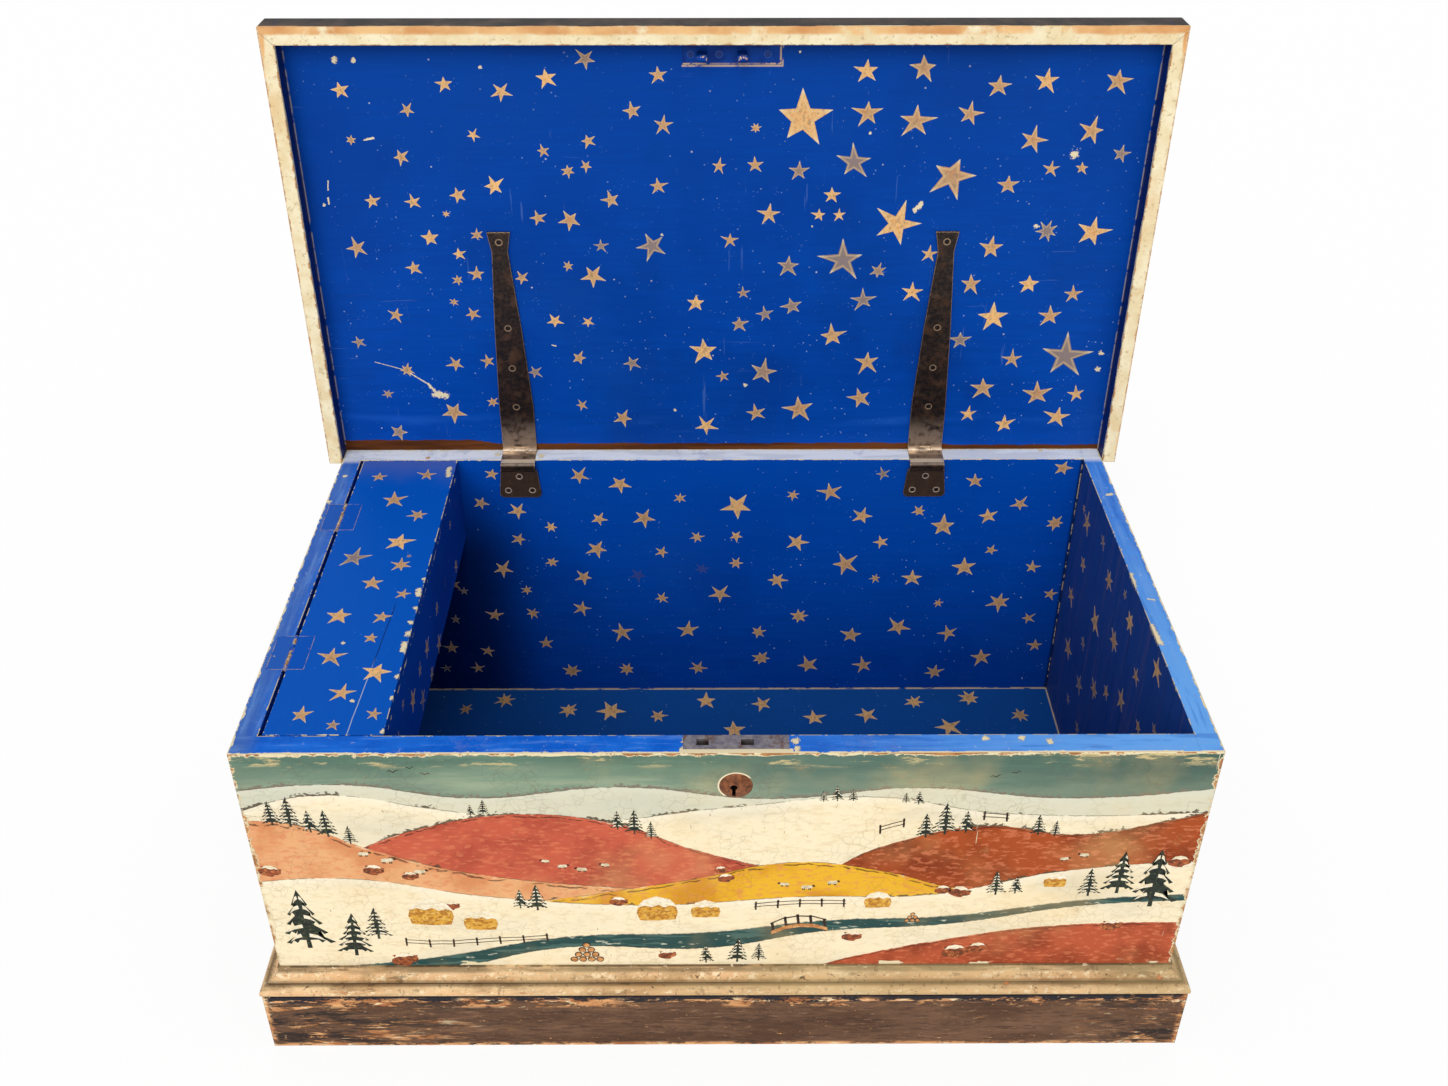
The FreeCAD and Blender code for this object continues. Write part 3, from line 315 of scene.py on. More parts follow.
def chips_near(f, distance, reach, plenty, scale, shift):
    """Chips that crowd along an arris: distance is how far off it is, reach how far they go."""
    pattern = f.cloud(scale, detail=6, rough=0.7, shift=shift)
    return f.step(f.add(pattern, f.times(f.step(distance, reach, 0.0), plenty)), 0.86, 1.0)


bottom_paint = Finish("bottom_board_paint")
f = bottom_paint
blue, strokes = blue_paint(f, LENGTHWISE)
pine, rings = bare_wood(f, LENGTHWISE, (176, 138, 94), (118, 84, 52))
wall_gap = f.least(f.less(INNER_HALF_WIDTH, f.size(f.x)), f.less(INNER_HALF_DEPTH, f.size(f.y)))
chalk = f.times(f.step(wall_gap, 0.0022, 0.0006), f.patches(0.36, 0.46, 60, detail=5, shift=3))
board_gap = f.off(f.size(f.y), BOARD_JOINT)
blue = f.layers(blue, (0.4, (36, 100, 146)), (chalk, (226, 204, 172)),
                (f.step(board_gap, 0.0009, 0.0003), (6, 14, 40)))
above = f.step(f.z, 0.0378, 0.0379)
f.coat(f.tint(above, pine, blue), f.add(0.42, f.times(strokes, 0.25)), gloss=0.08)
f.relief(f.add(strokes, f.times(rings, 0.6)), 0.00025)
f.put_on(nodes["bottom_board_front"], nodes["bottom_board_middle"], nodes["bottom_board_rear"])

# Bearer and plinth blocks. Rough-sawn pine glued and nailed under the bottom boards, one along
# the back and three behind the plinth. They are unpainted and have browned with age.
bearer_wood = Finish("bare_bearer_pine")
pine, rings = bare_wood(bearer_wood, LENGTHWISE, (172, 132, 88), (112, 78, 48))
saw_marks = bearer_wood.cloud(300, (1, 0.3, 0.05), detail=2, shift=6)
bearer_wood.coat(bearer_wood.tint(bearer_wood.times(saw_marks, 0.3), pine, (92, 66, 44)), 0.85)
bearer_wood.relief(bearer_wood.add(saw_marks, rings), 0.0004)
bearer_wood.put_on(nodes["rear_bearer"], nodes["plinth_blocks"])


# Painted front. The front board and the ends of the side boards carry one picture in oil on a
# cream ground: a plain folk landscape of snowfields, ploughed hills, a brook and a green-grey sky.
HALF_WIDTH, HALF_DEPTH, RIM = 0.46, 0.254, 0.41
PICTURE_LEFT, PICTURE_WIDTH = -HALF_WIDTH, 2 * HALF_WIDTH
SNOW, SNOW_SHADE, HOLLOW = (254, 238, 202), (232, 210, 164), (206, 204, 186)
INK, CLOD, CRUST = (58, 40, 32), (226, 132, 92), (250, 232, 192)


def brow_line(f, points):
    """How deep a point lies under a hill's brow, whose points are places along the front."""
    brow = f.node("FloatCurve")
    line = brow.mapping.curves[0]
    placed = [((x - PICTURE_LEFT) / PICTURE_WIDTH, z / RIM) for x, z in points]
    line.points[0].location = placed[0]
    line.points[1].location = placed[-1]
    for place in placed[1:-1]:
        line.points.new(*place)
    brow.mapping.update()
    f.feed(brow.inputs["Value"], f.calc("DIVIDE", f.less(f.x, PICTURE_LEFT), PICTURE_WIDTH))
    shaky = f.sway(0.003, 140, (1, 0, 0), detail=3)
    return f.less(f.add(f.times(brow.outputs["Value"], RIM), shaky), f.z)


def furrowed(f, depth, spacing, body, shade, shift):
    """A ploughed or mown field: broken ridges that follow its brow, clods, and snow between."""
    uneven = f.sway(spacing * 1.6, 40, detail=2, shift=shift)
    wave = f.calc("FRACT", f.calc("DIVIDE", f.add(depth, uneven), spacing))
    dashes = f.patches(0.44, 0.5, 150, (0.5, 1, 1), detail=3, shift=shift + 4)
    ridge = f.times(f.near(wave, 0.5, 0.17, 0.07), dashes)
    crust = f.times(f.step(wave, 0.12, 0.03),
                    f.patches(0.5, 0.58, 60, (0.6, 1, 1), detail=5, shift=shift + 7))
    return f.layers(
        body,
        (f.patches(0.42, 0.66, 16, detail=5, shift=shift), shade),
        (f.patches(0.52, 0.62, 260, (0.4, 1, 1), detail=4, shift=shift + 2), 0.5, CLOD),
        (ridge, 0.75, INK),
        (crust, 0.6, CRUST),
    )


def snowfield(f, depth, dabs, shift):
    """Snow: lit along its brow, blue-grey in its hollows, with dabs of the brush and dry stalks."""
    stalks = f.times(
        f.patches(0.68, 0.72, 330, (1, 1, 0.3), detail=2, shift=shift), f.patches(0.5, 0.6, 22, shift=shift)
    )
    return f.layers(
        SNOW,
        (f.step(dabs, 0.46, 0.7), 0.5, SNOW_SHADE),
        (f.patches(0.46, 0.66, 12, (0.4, 1, 1), detail=4, shift=shift), 0.45, HOLLOW),
        (f.step(depth, 0.014, 0.0), 0.6, (255, 246, 222)),
        (stalks, 0.6, (150, 120, 84)),
    )


def painted_picture(f):
    """The whole landscape, from the sky forward."""
    brush = f.cloud(120, (0.1, 1, 1), detail=5, rough=0.65, shift=3)
    dabs = f.cloud(230, (0.45, 1, 1), detail=4, shift=8)
    drift = f.cloud(11, (0.35, 1, 1), detail=5, shift=12)
    horizon = f.add(f.z, f.times(brush, 0.03), f.times(drift, 0.05))
    streaks = f.times(f.step(f.z, 0.388, 0.4),
                      f.patches(0.53, 0.6, 48, (0.22, 1, 1), detail=6, rough=0.7, shift=22))
    colour = f.layers(
        f.tint(f.step(horizon, 0.44, 0.4), (92, 122, 106), (158, 174, 146)),
        (f.step(brush, 0.46, 0.66), 0.5, (122, 152, 130)),
        (f.step(drift, 0.46, 0.62), 0.5, (92, 116, 106)),
        (f.step(f.x, 0.02, 0.44), 0.65, (70, 96, 88)),
        (streaks, 0.8, (232, 208, 150)),
    )
    brick, rust = ((206, 98, 72), (176, 74, 56)), ((172, 80, 38), (134, 56, 26))
    peach, ochre = ((238, 176, 124), (218, 142, 92)), ((240, 184, 48), (214, 146, 34))
    land = [
        (None, 0, 0.9, [
            (-0.46, 0.362), (-0.36, 0.37), (-0.24, 0.352), (-0.1, 0.366), (0.04, 0.35), (0.18, 0.364),
            (0.32, 0.35), (0.46, 0.362),
        ]),
        (None, 0, 0.55, [
            (-0.46, 0.335), (-0.38, 0.356), (-0.28, 0.338), (-0.16, 0.318), (0.0, 0.338), (0.14, 0.352),
            (0.26, 0.33), (0.46, 0.33),
        ]),
        (brick, 0.0062, 0.45, [
            (-0.46, 0.25), (-0.4, 0.262), (-0.3, 0.308), (-0.2, 0.33), (-0.11, 0.318), (-0.03, 0.28),
            (0.08, 0.245), (0.46, 0.2),
        ]),
        (peach, 0.0105, 0.3, [
            (-0.46, 0.322), (-0.42, 0.318), (-0.34, 0.28), (-0.26, 0.25), (-0.1, 0.225), (0.1, 0.21),
            (0.3, 0.2), (0.46, 0.2),
        ]),
        (rust, 0.0048, 0.45, [
            (-0.46, 0.2), (-0.1, 0.2), (0.06, 0.228), (0.16, 0.288), (0.25, 0.312), (0.34, 0.3),
            (0.42, 0.318), (0.46, 0.33),
        ]),
        (ochre, 0.0075, 0.3, [
            (-0.46, 0.19), (-0.2, 0.205), (-0.04, 0.236), (0.07, 0.262), (0.15, 0.25), (0.22, 0.226),
            (0.34, 0.2), (0.46, 0.19),
        ]),
        (None, 0, 0.35, [
            (-0.46, 0.236), (-0.37, 0.24), (-0.24, 0.214), (-0.08, 0.2), (0.08, 0.212), (0.2, 0.214),
            (0.33, 0.248), (0.46, 0.262),
        ]),
    ]
    for number, (field, spacing, wooded, brow) in enumerate(land):
        depth = brow_line(f, brow)
        if field:
            body = furrowed(f, depth, spacing, field[0], field[1], number * 1.7)
        else:
            body = snowfield(f, depth, dabs, number * 2.3)
        if not number:
            body = f.tint(0.55, body, (196, 204, 186))
        bushes = f.times(f.less(f.cloud(330, (0.6, 1, 1), detail=4, shift=number), 0.36), 0.02)
        rows = f.patches(0.62 - wooded * 0.22, 0.66 - wooded * 0.22, 14, (1, 0, 0), detail=3,
                         shift=number * 3)
        hedge = f.times(f.step(f.add(depth, f.times(bushes, rows)), 0.0, 0.0006), rows)
        leaf = (132, 122, 106) if number < 1 else (84, 70, 52)
        line = f.times(f.step(f.size(depth), 0.0008, 0.0003), f.patches(0.4, 0.5, 60, detail=3, shift=number))
        colour = f.layers(
            colour, (hedge, 0.9, leaf), (f.step(depth, -0.0004, 0.0004), body), (line, 0.6, INK)
        )
    bank = brow_line(f, [
        (-0.46, 0.1), (-0.3, 0.12), (-0.16, 0.152), (-0.02, 0.158), (0.1, 0.176), (0.22, 0.182),
        (0.36, 0.206), (0.46, 0.214),
    ])
    shore = brow_line(f, [
        (-0.46, 0.09), (-0.3, 0.1), (-0.16, 0.136), (-0.02, 0.134), (0.1, 0.16), (0.22, 0.17), (0.36, 0.198),
        (0.46, 0.205),
    ])
    water = f.layers(
        (44, 78, 76),
        (f.patches(0.5, 0.6, 170, (0.12, 1, 1), detail=4, shift=5), 0.6, (92, 124, 114)),
        (f.patches(0.64, 0.68, 230, (0.3, 1, 1), detail=4, shift=25), 0.7, (226, 224, 200)),
    )
    stream = f.times(f.step(bank, 0.0, 0.0006), f.step(shore, 0.0006, 0.0))
    banks = f.least(f.size(bank), f.size(shore))
    edge_line = f.times(f.step(banks, 0.001, 0.0003), f.patches(0.42, 0.5, 90, detail=3, shift=31))
    plot = brow_line(f, [
        (-0.46, 0.09), (0.06, 0.095), (0.13, 0.12), (0.22, 0.146), (0.32, 0.166), (0.46, 0.172),
    ])
    clods = furrowed(f, plot, 0.0055, (190, 90, 58), (150, 66, 40), 33)
    cracks = f.node("TexVoronoi", feature="DISTANCE_TO_EDGE")
    bent = f.node("VectorMath", operation="ADD")
    warp = f.node("TexNoise")
    f.feed(warp.inputs["Vector"], f.where)
    warp.inputs["Scale"].default_value = 60
    shrunk = f.node("VectorMath", operation="SCALE")
    f.feed(shrunk.inputs[0], warp.outputs["Color"])
    shrunk.inputs["Scale"].default_value = 0.012
    f.feed(bent.inputs[0], f.where)
    f.feed(bent.inputs[1], shrunk.outputs[0])
    f.feed(cracks.inputs["Vector"], bent.outputs[0])
    cracks.inputs["Scale"].default_value = 95
    crackle = f.times(f.step(cracks.outputs["Distance"], 0.035, 0.01), f.patches(0.42, 0.6, 18, shift=6))
    return f.layers(
        colour,
        (stream, water),
        (edge_line, 0.55, INK),
        (f.step(plot, 0.0, 0.0006), clods),
        (f.patches(0.48, 0.72, 7, detail=4, shift=12), 0.3, (240, 204, 136)),
        (f.patches(0.62, 0.72, 30, detail=6, rough=0.75, shift=15), 0.3, (186, 150, 100)),
        (crackle, 0.2, (112, 84, 56)),
        (f.patches(0.69, 0.73, 210, detail=5, rough=0.7, shift=41), 0.45, (150, 104, 66)),
    ), brush, crackle


def front_wear(f, edge):
    """Wear that crosses the whole front: its rubbed top, scratches, flakes, chips at the corners."""
    uneven = f.sway(0.014, 38, (0.4, 1, 1), detail=6, rough=0.7, shift=1)
    top = f.step(f.add(f.z, uneven), 0.4068, 0.4082)
    scratch = f.patches(0.715, 0.75, 140, (1.5, 1, 0.04), detail=3, rough=0.6, shift=31)
    return f.most(
        f.times(top, f.add(0.4, f.times(f.patches(0.52, 0.58, 22, (0.5, 1, 1), detail=5, shift=17), 0.6))),
        f.times(chips_near(f, edge, 0.012, 0.46, 80, 2), f.add(0.35, f.cloud(30, shift=5))),
        f.patches(0.74, 0.8, 130, (0.5, 1, 1), detail=6, rough=0.75, shift=21),
        f.times(f.step(f.z, 0.12, 0.108), f.patches(0.6, 0.66, 60, (0.4, 1, 1), detail=5, shift=17), 0.5),
        f.times(scratch, 0.3),
    )


# Case boards. Four pine boards dovetailed at the corners, the front and back running through:
# blue inside and over the rim, the picture in front, dark brown paint on the sides, bare at the back.
case_paint = Finish("case_board_paint")
f = case_paint
across, along, down = f.size(f.x), f.size(f.y), f.z
from_side, from_face, from_top = f.less(HALF_WIDTH, across), f.less(HALF_DEPTH, along), f.less(RIM, down)
outer_edge = f.most(f.least(from_side, from_face), f.least(f.most(from_side, from_face), from_top))
inner_edge = f.most(f.less(across, INNER_HALF_WIDTH), f.less(along, INNER_HALF_DEPTH), from_top)

inside_lengthwise, strokes_long = blue_paint(f, LENGTHWISE)
inside_crosswise, strokes_cross = blue_paint(f, CROSSWISE)
floor_line = f.times(f.near(down, 0.0385, 0.0016, 0.0006), f.patches(0.4, 0.5, 50, detail=4, shift=2))
corner = f.most(f.off(across, INNER_HALF_WIDTH), f.off(along, INNER_HALF_DEPTH))
on_right_wall = f.step(f.x, 0.437, 0.4378)
corner_line = f.times(f.step(corner, 0.0012, 0.0005), f.patches(0.46, 0.52, 120, detail=3, shift=6))
inside = f.layers(
    f.tint(f.step(across, 0.4376, 0.4378), inside_lengthwise, inside_crosswise),
    # painted light: the inside walls grow lighter towards the rim, as if lit from above
    (f.step(down, 0.16, 0.4), 0.5, (0, 80, 188)),
    # painted shadow: the back board darkens beside and below the till, where the till's shadow falls
    (f.times(f.step(f.y, 0.23, 0.2309), f.step(f.x, -0.22, -0.315), f.step(down, 0.4, 0.25)), 0.8,
     (0, 20, 66)),
    (on_right_wall, 0.72, (44, 80, 142)),
    (f.times(on_right_wall, f.patches(0.52, 0.66, 90, (1, 1, 0.06), detail=5, rough=0.7, shift=33)), 0.5,
     (98, 92, 138)),
    (f.times(on_right_wall, f.patches(0.54, 0.7, 130, (1, 1, 0.05), detail=4, rough=0.7, shift=37)), 0.5,
     (10, 44, 104)),
    (f.step(corner, 0.005, 0.0015), 0.7, (4, 16, 50)),
    (f.most(floor_line, corner_line), (205, 184, 156)),
)

on_end_rail = f.step(along, 0.2309, 0.2305)
brushed = f.tint(on_end_rail, f.cloud(150, (0.1, 1, 1), detail=5, shift=44),
                 f.cloud(150, (1, 0.1, 1), detail=5, shift=45))
rim = f.layers(
    f.tint(f.patches(0.35, 0.65, 24, detail=5, rough=0.7, shift=4), (10, 96, 210), (30, 116, 228)),
    (f.times(f.step(f.x, -0.05, 0.45), f.add(0.3, f.times(f.step(f.y, 0.2, -0.22), 0.5))), (120, 188, 255)),
    (f.step(f.x, -0.43, -0.45), 0.65, (84, 118, 180)),
    (f.step(brushed, 0.5, 0.64), 0.35, (10, 84, 190)),
    (f.step(brushed, 0.48, 0.34), 0.3, (130, 176, 238)),
    # painted sheen: the back rail of the rim is painted near white, broken by darker patches
    (f.step(f.y, 0.222, 0.234), 0.97, (244, 249, 255)),
    (f.times(f.step(f.y, 0.222, 0.234), f.patches(0.5, 0.6, 70, (0.15, 1, 1), detail=5, shift=24)), 0.3,
     (166, 172, 192)),
    (f.patches(0.56, 0.68, 30, detail=6, rough=0.7, shift=14), 0.3, (120, 136, 200)),
    (f.patches(0.6, 0.72, 110, detail=6, rough=0.75, shift=3), 0.5, (200, 212, 232)),
)

grip_rub = f.times(f.near(f.z, 0.243, 0.006, 0.001), f.step(along, 0.075, 0.055),
                   f.patches(0.4, 0.6, 90, shift=3))
outside = f.layers(
    f.tint(f.cloud(60, CROSSWISE, detail=5), (44, 34, 30), (92, 70, 54)),
    (f.patches(0.56, 0.74, 16, (1, 0.5, 1), detail=6, rough=0.7, shift=8), 0.6, (126, 98, 72)),
    (f.patches(0.66, 0.7, 200, (1, 0.05, 1), detail=3, shift=14), 0.5, (176, 132, 90)),
    (f.patches(0.68, 0.73, 70, (1, 0.6, 1), detail=6, rough=0.75, shift=24), (198, 150, 104)),
    (grip_rub, 0.7, (168, 126, 88)),
    (f.times(f.near(from_face, 0.023, 0.0007, 0.0002), f.patches(0.36, 0.46, 80, shift=7)), (24, 18, 16)),
)
picture, brush, crackle = painted_picture(f)
back_pine, _ = bare_wood(f, LENGTHWISE, (178, 140, 96), (136, 98, 62))
back_pine = f.layers(
    back_pine,
    (f.patches(0.4, 0.7, 4, (0.4, 1, 1), detail=4, shift=9), 0.4, (104, 74, 48)),
    (f.specks(6, 0.05, 4), (78, 48, 28)),
)
end_pine, _ = bare_wood(f, CROSSWISE)

on_rim = f.step(down, 0.4097, 0.4098)
on_front, on_back = f.step(f.y, -0.2538, -0.2539), f.step(f.y, 0.2538, 0.2539)
LOCK_X, KEYHOLE_Z = 0.009, 0.3675
squares = [f.calc("POWER", f.less(value, place), 2.0) for value, place in ((f.x, LOCK_X), (f.z, KEYHOLE_Z))]
keyhole_off = f.calc("SQRT", f.add(*squares), 0.0)
paint = f.layers(
    inside,
    (f.step(across, 0.4598, 0.4599), outside),
    (on_rim, rim),
    (on_front, picture),
    (f.times(on_front, f.step(keyhole_off, 0.0178, 0.0168), f.step(f.less(f.z, f.x), 0.3525, 0.3585)),
     (250, 232, 196)),
    # painted shade: the keyhole's bore through the front board is near black
    (f.times(f.step(keyhole_off, 0.0135, 0.0125), f.step(f.y, -0.23, -0.2315)), (20, 13, 10)),
)
RIM_CHIPS = [
    (1088, 481, 2), (1094, 489, 3), (1107, 524, 3), (1111, 532, 4), (1118, 549, 4), (1130, 575, 5, 1133, 588),
    (1137, 600, 4), (1151, 626, 5, 1160, 643), (1162, 664, 6), (1169, 680, 5, 1174, 690), (1186, 728, 6),
    (1154, 584, 2.5, 1158, 586), (1148, 599, 1.5, 1154, 600), (1107, 495, 2.5, 1111, 494), (686, 741, 6),
    (684, 749, 5), (795, 741, 6), (797, 749, 5), (1022, 738, 5), (1050, 741, 5), (985, 738, 5),
    (1200, 756, 4, 1222, 754), (1186, 756, 3), (1150, 757, 3), (498, 454, 4), (541, 456, 4), (329, 502, 4),
    (345, 476, 3), (283, 647, 3), (305, 621, 4), (270, 662, 3), (318, 590, 3), (1040, 450, 3),
]
chips = f.most(
    f.times(chips_near(f, outer_edge, 0.006, 0.5, 90, 1), f.add(0.3, f.cloud(40, shift=9)),
            f.less(1.0, f.times(on_rim, 0.6))),
    f.times(chips_near(f, inner_edge, 0.0035, 0.38, 110, 5), 0.5),
    f.times(f.step(outer_edge, 0.0011, 0.0004), 0.6, f.patches(0.48, 0.55, 60, detail=5, shift=9)),
    f.times(f.step(inner_edge, 0.001, 0.0003), 0.5, f.patches(0.48, 0.54, 45, detail=5, shift=19)),
    f.times(on_rim, f.step(f.y, -0.2515, -0.2532), 0.5,
            f.patches(0.4, 0.48, 38, (0.6, 1, 1), detail=5, shift=7)),
    f.times(f.near(f.x, LOCK_X, 0.054, 0.051), f.step(f.y, -0.248, -0.2495), f.step(down, 0.405, 0.4075),
            0.55),
    f.times(f.chips_at(RIM_CHIPS, (0, 0, RIM), Vector((0, 0, 1))), 0.5),
)
on_front_skin = f.times(on_front, f.step(down, 0.4099, 0.4097))
front_chips = front_wear(f, f.least(outer_edge, 0.1))
chips = f.add(f.times(f.less(1.0, on_front_skin), chips), f.times(on_front_skin, front_chips))
surface = f.tint(on_back, worn_through(f, paint, chips, end_pine), back_pine)
chip_depth = f.step(chips, 0.15, 0.35)
texture = f.add(
    f.times(strokes_long, 0.5), f.times(strokes_cross, 0.3), f.times(brush, 0.4),
    f.times(f.less(1.0, chip_depth), 1.2), f.times(crackle, on_front, -0.7),
)
f.coat(surface, f.add(0.4, f.times(chip_depth, 0.35), f.times(on_back, 0.35), f.times(strokes_long, 0.12)),
       gloss=0.08)
f.relief(texture, 0.00022, 0.0012)
f.put_on(nodes["front_board"], nodes["back_board"], nodes["left_side"], nodes["right_side"])


# Motifs on the front. Firs under snow, hay ricks, split-rail fences, sheep, log piles, bushes and
# birds, each a thin raised shape of oil paint laid over the picture and worn where the front is.
PAINT_LAYER, PAINT_LIFT = 0.00018, 0.00003
hand = random.Random(11)


def mesh_edit():
    bpy.ops.object.mode_set(mode="EDIT")


def mesh_done():
    bpy.ops.object.mode_set(mode="OBJECT")


def paint_shape(name, outline, thickness=PAINT_LAYER):
    """A thin layer of paint lying in X and Y, raised along Z, from its outline's corners."""
    bpy.ops.mesh.primitive_circle_add(vertices=len(outline), radius=1, fill_type="NGON")
    made = bpy.context.object
    made.name = name
    for vertex, place in zip(made.data.vertices, outline):
        vertex.co = (place[0], place[1], 0)
    mesh_edit()
    bpy.ops.mesh.select_all(action="SELECT")
    bpy.ops.mesh.extrude_region_move(TRANSFORM_OT_translate={"value": (0, 0, thickness)})
    bpy.ops.mesh.select_all(action="SELECT")
    bpy.ops.mesh.normals_make_consistent(inside=False)
    mesh_done()
    return made


def copy_to(pattern, name, place):
    """A copy with its own mesh, moved to a place given as a matrix."""
    made = pattern.copy()
    made.data = pattern.data.copy()
    made.name = name
    made.data.transform(place)
    scene.collection.objects.link(made)
    return made


def as_one(pieces, name):
    """Joins pieces into one, under one name."""
    bpy.ops.object.select_all(action="DESELECT")
    for piece in pieces:
        piece.select_set(True)
    bpy.context.view_layer.objects.active = pieces[0]
    if len(pieces) > 1:
        bpy.ops.object.join()
    pieces[0].name = name
    pieces[0].data.name = name
    bpy.ops.object.select_all(action="DESELECT")
    return pieces[0]


def discard(*patterns):
    for pattern in patterns:
        bpy.data.objects.remove(pattern)


def on_face(centre, right, up, turn=0.0, size=1.0):
    """A place on a plane face: a shape's X runs right, its Y up and its Z out of the face."""
    right, up = Vector(right).normalized(), Vector(up).normalized()
    face = Matrix((right, up, right.cross(up))).transposed().to_4x4()
    turned = Matrix.Rotation(turn, 4, "Z")
    return Matrix.Translation(centre) @ face @ turned @ Matrix.Diagonal((size, size, 1, 1))


def on_front_board(x, z, size=1.0, lean=0.0):
    return on_face((x, -HALF_DEPTH - PAINT_LIFT, z), (1, 0, 0), (0, 0, 1), lean, size)


def motif_finish(name, body, shade, light):
    f = Finish(name)
    dabs = f.cloud(300, (0.6, 1, 1), detail=4, shift=8)
    colour = f.layers(
        f.tint(f.step(dabs, 0.4, 0.6), body, shade),
        (f.patches(0.56, 0.64, 360, detail=3, shift=2), 0.7, light),
    )
    from_edge = f.least(f.less(HALF_WIDTH, f.size(f.x)), f.less(RIM, f.z))
    wood, _ = bare_wood(f, CROSSWISE)
    worn = front_wear(f, from_edge)
    f.coat(worn_through(f, colour, worn, wood), f.add(0.42, f.times(dabs, 0.2)))
    f.relief(dabs, 0.0002)
    return f


def bough_levels(tiers):
    """Each tier of a fir: how high it starts, how far it reaches, and the height of a tier."""
    rise = 0.0205 / tiers
    return [
        (0.0032 + rise * tier, 0.0078 * (1 - tier / (tiers + 0.4)) ** 0.85, rise)
        for tier in range(tiers)
    ]


def fir_outline(tiers):
    """Ragged boughs that droop to their tips and step back in, up one side and down the other."""
    sides = []
    for side in (-1, 1):
        points = [(side * 0.0007, 0.0), (side * 0.0006, 0.0036)]
        for low, reach, rise in bough_levels(tiers):
            reach *= hand.uniform(0.82, 1.12)
            points += [
                (side * reach * 0.38, low + rise * 0.1), (side * reach * 0.5, low - rise * 0.22),
                (side * reach * 0.66, low + rise * 0.06), (side * reach * 0.8, low - rise * 0.3),
                (side * reach, low - rise * 0.16), (side * reach * 0.46, low + rise * 0.62),
            ]
        sides.append(points)
    return sides[0] + [(0.0, 0.0252)] + sides[1][::-1]


def fir_snow(tiers):
    """A patch of snow on most boughs, thick by the trunk and running out to the tip."""
    patches = []
    for low, reach, rise in bough_levels(tiers):
        for side in (-1, 1):
            if hand.random() < 0.85:
                tip = hand.uniform(0.62, 0.86) * reach * side
                root = hand.uniform(0.06, 0.2) * reach * side
                middle = (tip + root) / 2
                patch = [
                    (tip, low - rise * 0.02), (middle, low + rise * 0.28), (root, low + rise * 0.42),
                    (root * 1.2, low + rise * 0.78), (middle, low + rise * 0.62),
                ]
                patches.append(paint_shape("patch", patch, PAINT_LAYER * 2))
    return as_one(patches, "fir_snow")


def round_outline(corners, width, height, ragged):
    """A closed, uneven round, as a loaded brush leaves it."""
    turns = [2 * math.pi * k / corners for k in range(corners)]
    reaches = [1 + hand.uniform(-ragged, ragged) for _ in turns]
    return [(width / 2 * r * math.cos(t), height / 2 * r * math.sin(t)) for t, r in zip(turns, reaches)]


firs = [paint_shape("fir", fir_outline(tiers)) for tiers in (6, 7, 5)]
snows = [fir_snow(tiers) for tiers in (6, 7, 5)]
rick = paint_shape("rick", [
    (-0.010, 0.0), (-0.0115, 0.006), (-0.0105, 0.0115), (-0.0065, 0.0155), (0.0, 0.0178), (0.0066, 0.0154),
    (0.0104, 0.0112), (0.0113, 0.0058), (0.0098, 0.0), (0.0, -0.0006),
])
rick_snow = paint_shape("rick_snow", [
    (-0.0116, 0.0104), (-0.0074, 0.0166), (0.0, 0.0196), (0.0076, 0.0166), (0.0117, 0.0102), (0.0076, 0.0118),
    (0.0040, 0.0104), (0.0010, 0.0126), (-0.0030, 0.0108), (-0.0066, 0.0122),
], PAINT_LAYER * 1.6)
rail_post = paint_shape("rail_post", [(-0.0009, 0.0), (-0.0011, 0.0118), (0.0008, 0.0124), (0.0009, 0.0)])
rail_bar = paint_shape("rail_bar", [
    (-0.013, -0.0004), (-0.013, 0.0005), (0.0, 0.0008), (0.013, 0.0006), (0.013, -0.0003), (0.0, 0.0),
])
fleece = paint_shape("fleece", [
    (-0.0045, 0.0024), (-0.0042, 0.0048), (-0.0020, 0.0058), (0.0006, 0.0055), (0.0026, 0.0060),
    (0.0044, 0.0050), (0.0047, 0.0030), (0.0036, 0.0017), (0.0010, 0.0014), (-0.0018, 0.0013),
    (-0.0038, 0.0016),
])
sheep_face = paint_shape("sheep_face", [
    (0.0042, 0.0052), (0.0050, 0.0064), (0.0062, 0.0060), (0.0071, 0.0044), (0.0064, 0.0038),
    (0.0050, 0.0040),
])
sheep_leg = paint_shape("sheep_leg", [(-0.0004, 0.0), (-0.0005, 0.0020), (0.0004, 0.0020), (0.0004, 0.0)])
log_bark = paint_shape("log_bark", round_outline(12, 0.0086, 0.0082, 0.06))
log_end = paint_shape("log_end", round_outline(12, 0.0064, 0.0060, 0.08), PAINT_LAYER * 1.7)
bush = paint_shape("bush", round_outline(19, 0.017, 0.012, 0.22))
bush_snow = paint_shape("bush_snow", [
    (-0.0066, 0.0024), (-0.0040, 0.0058), (0.0006, 0.0066), (0.0050, 0.0050), (0.0070, 0.0020),
    (0.0036, 0.0030), (0.0008, 0.0020), (-0.0030, 0.0034),
], PAINT_LAYER * 1.7)
bridge_deck = paint_shape("bridge_deck", [
    (-0.019, 0.0), (-0.010, 0.0042), (0.0, 0.0056), (0.010, 0.0042), (0.019, 0.0), (0.019, 0.0032),
    (0.010, 0.0076), (0.0, 0.0090), (-0.010, 0.0076), (-0.019, 0.0032),
], PAINT_LAYER * 1.5)
bridge_rail = paint_shape("bridge_rail", [
    (-0.019, 0.0104), (-0.010, 0.0148), (0.0, 0.0162), (0.010, 0.0148), (0.019, 0.0104), (0.019, 0.0114),
    (0.010, 0.0159), (0.0, 0.0173), (-0.010, 0.0159), (-0.019, 0.0114),
])
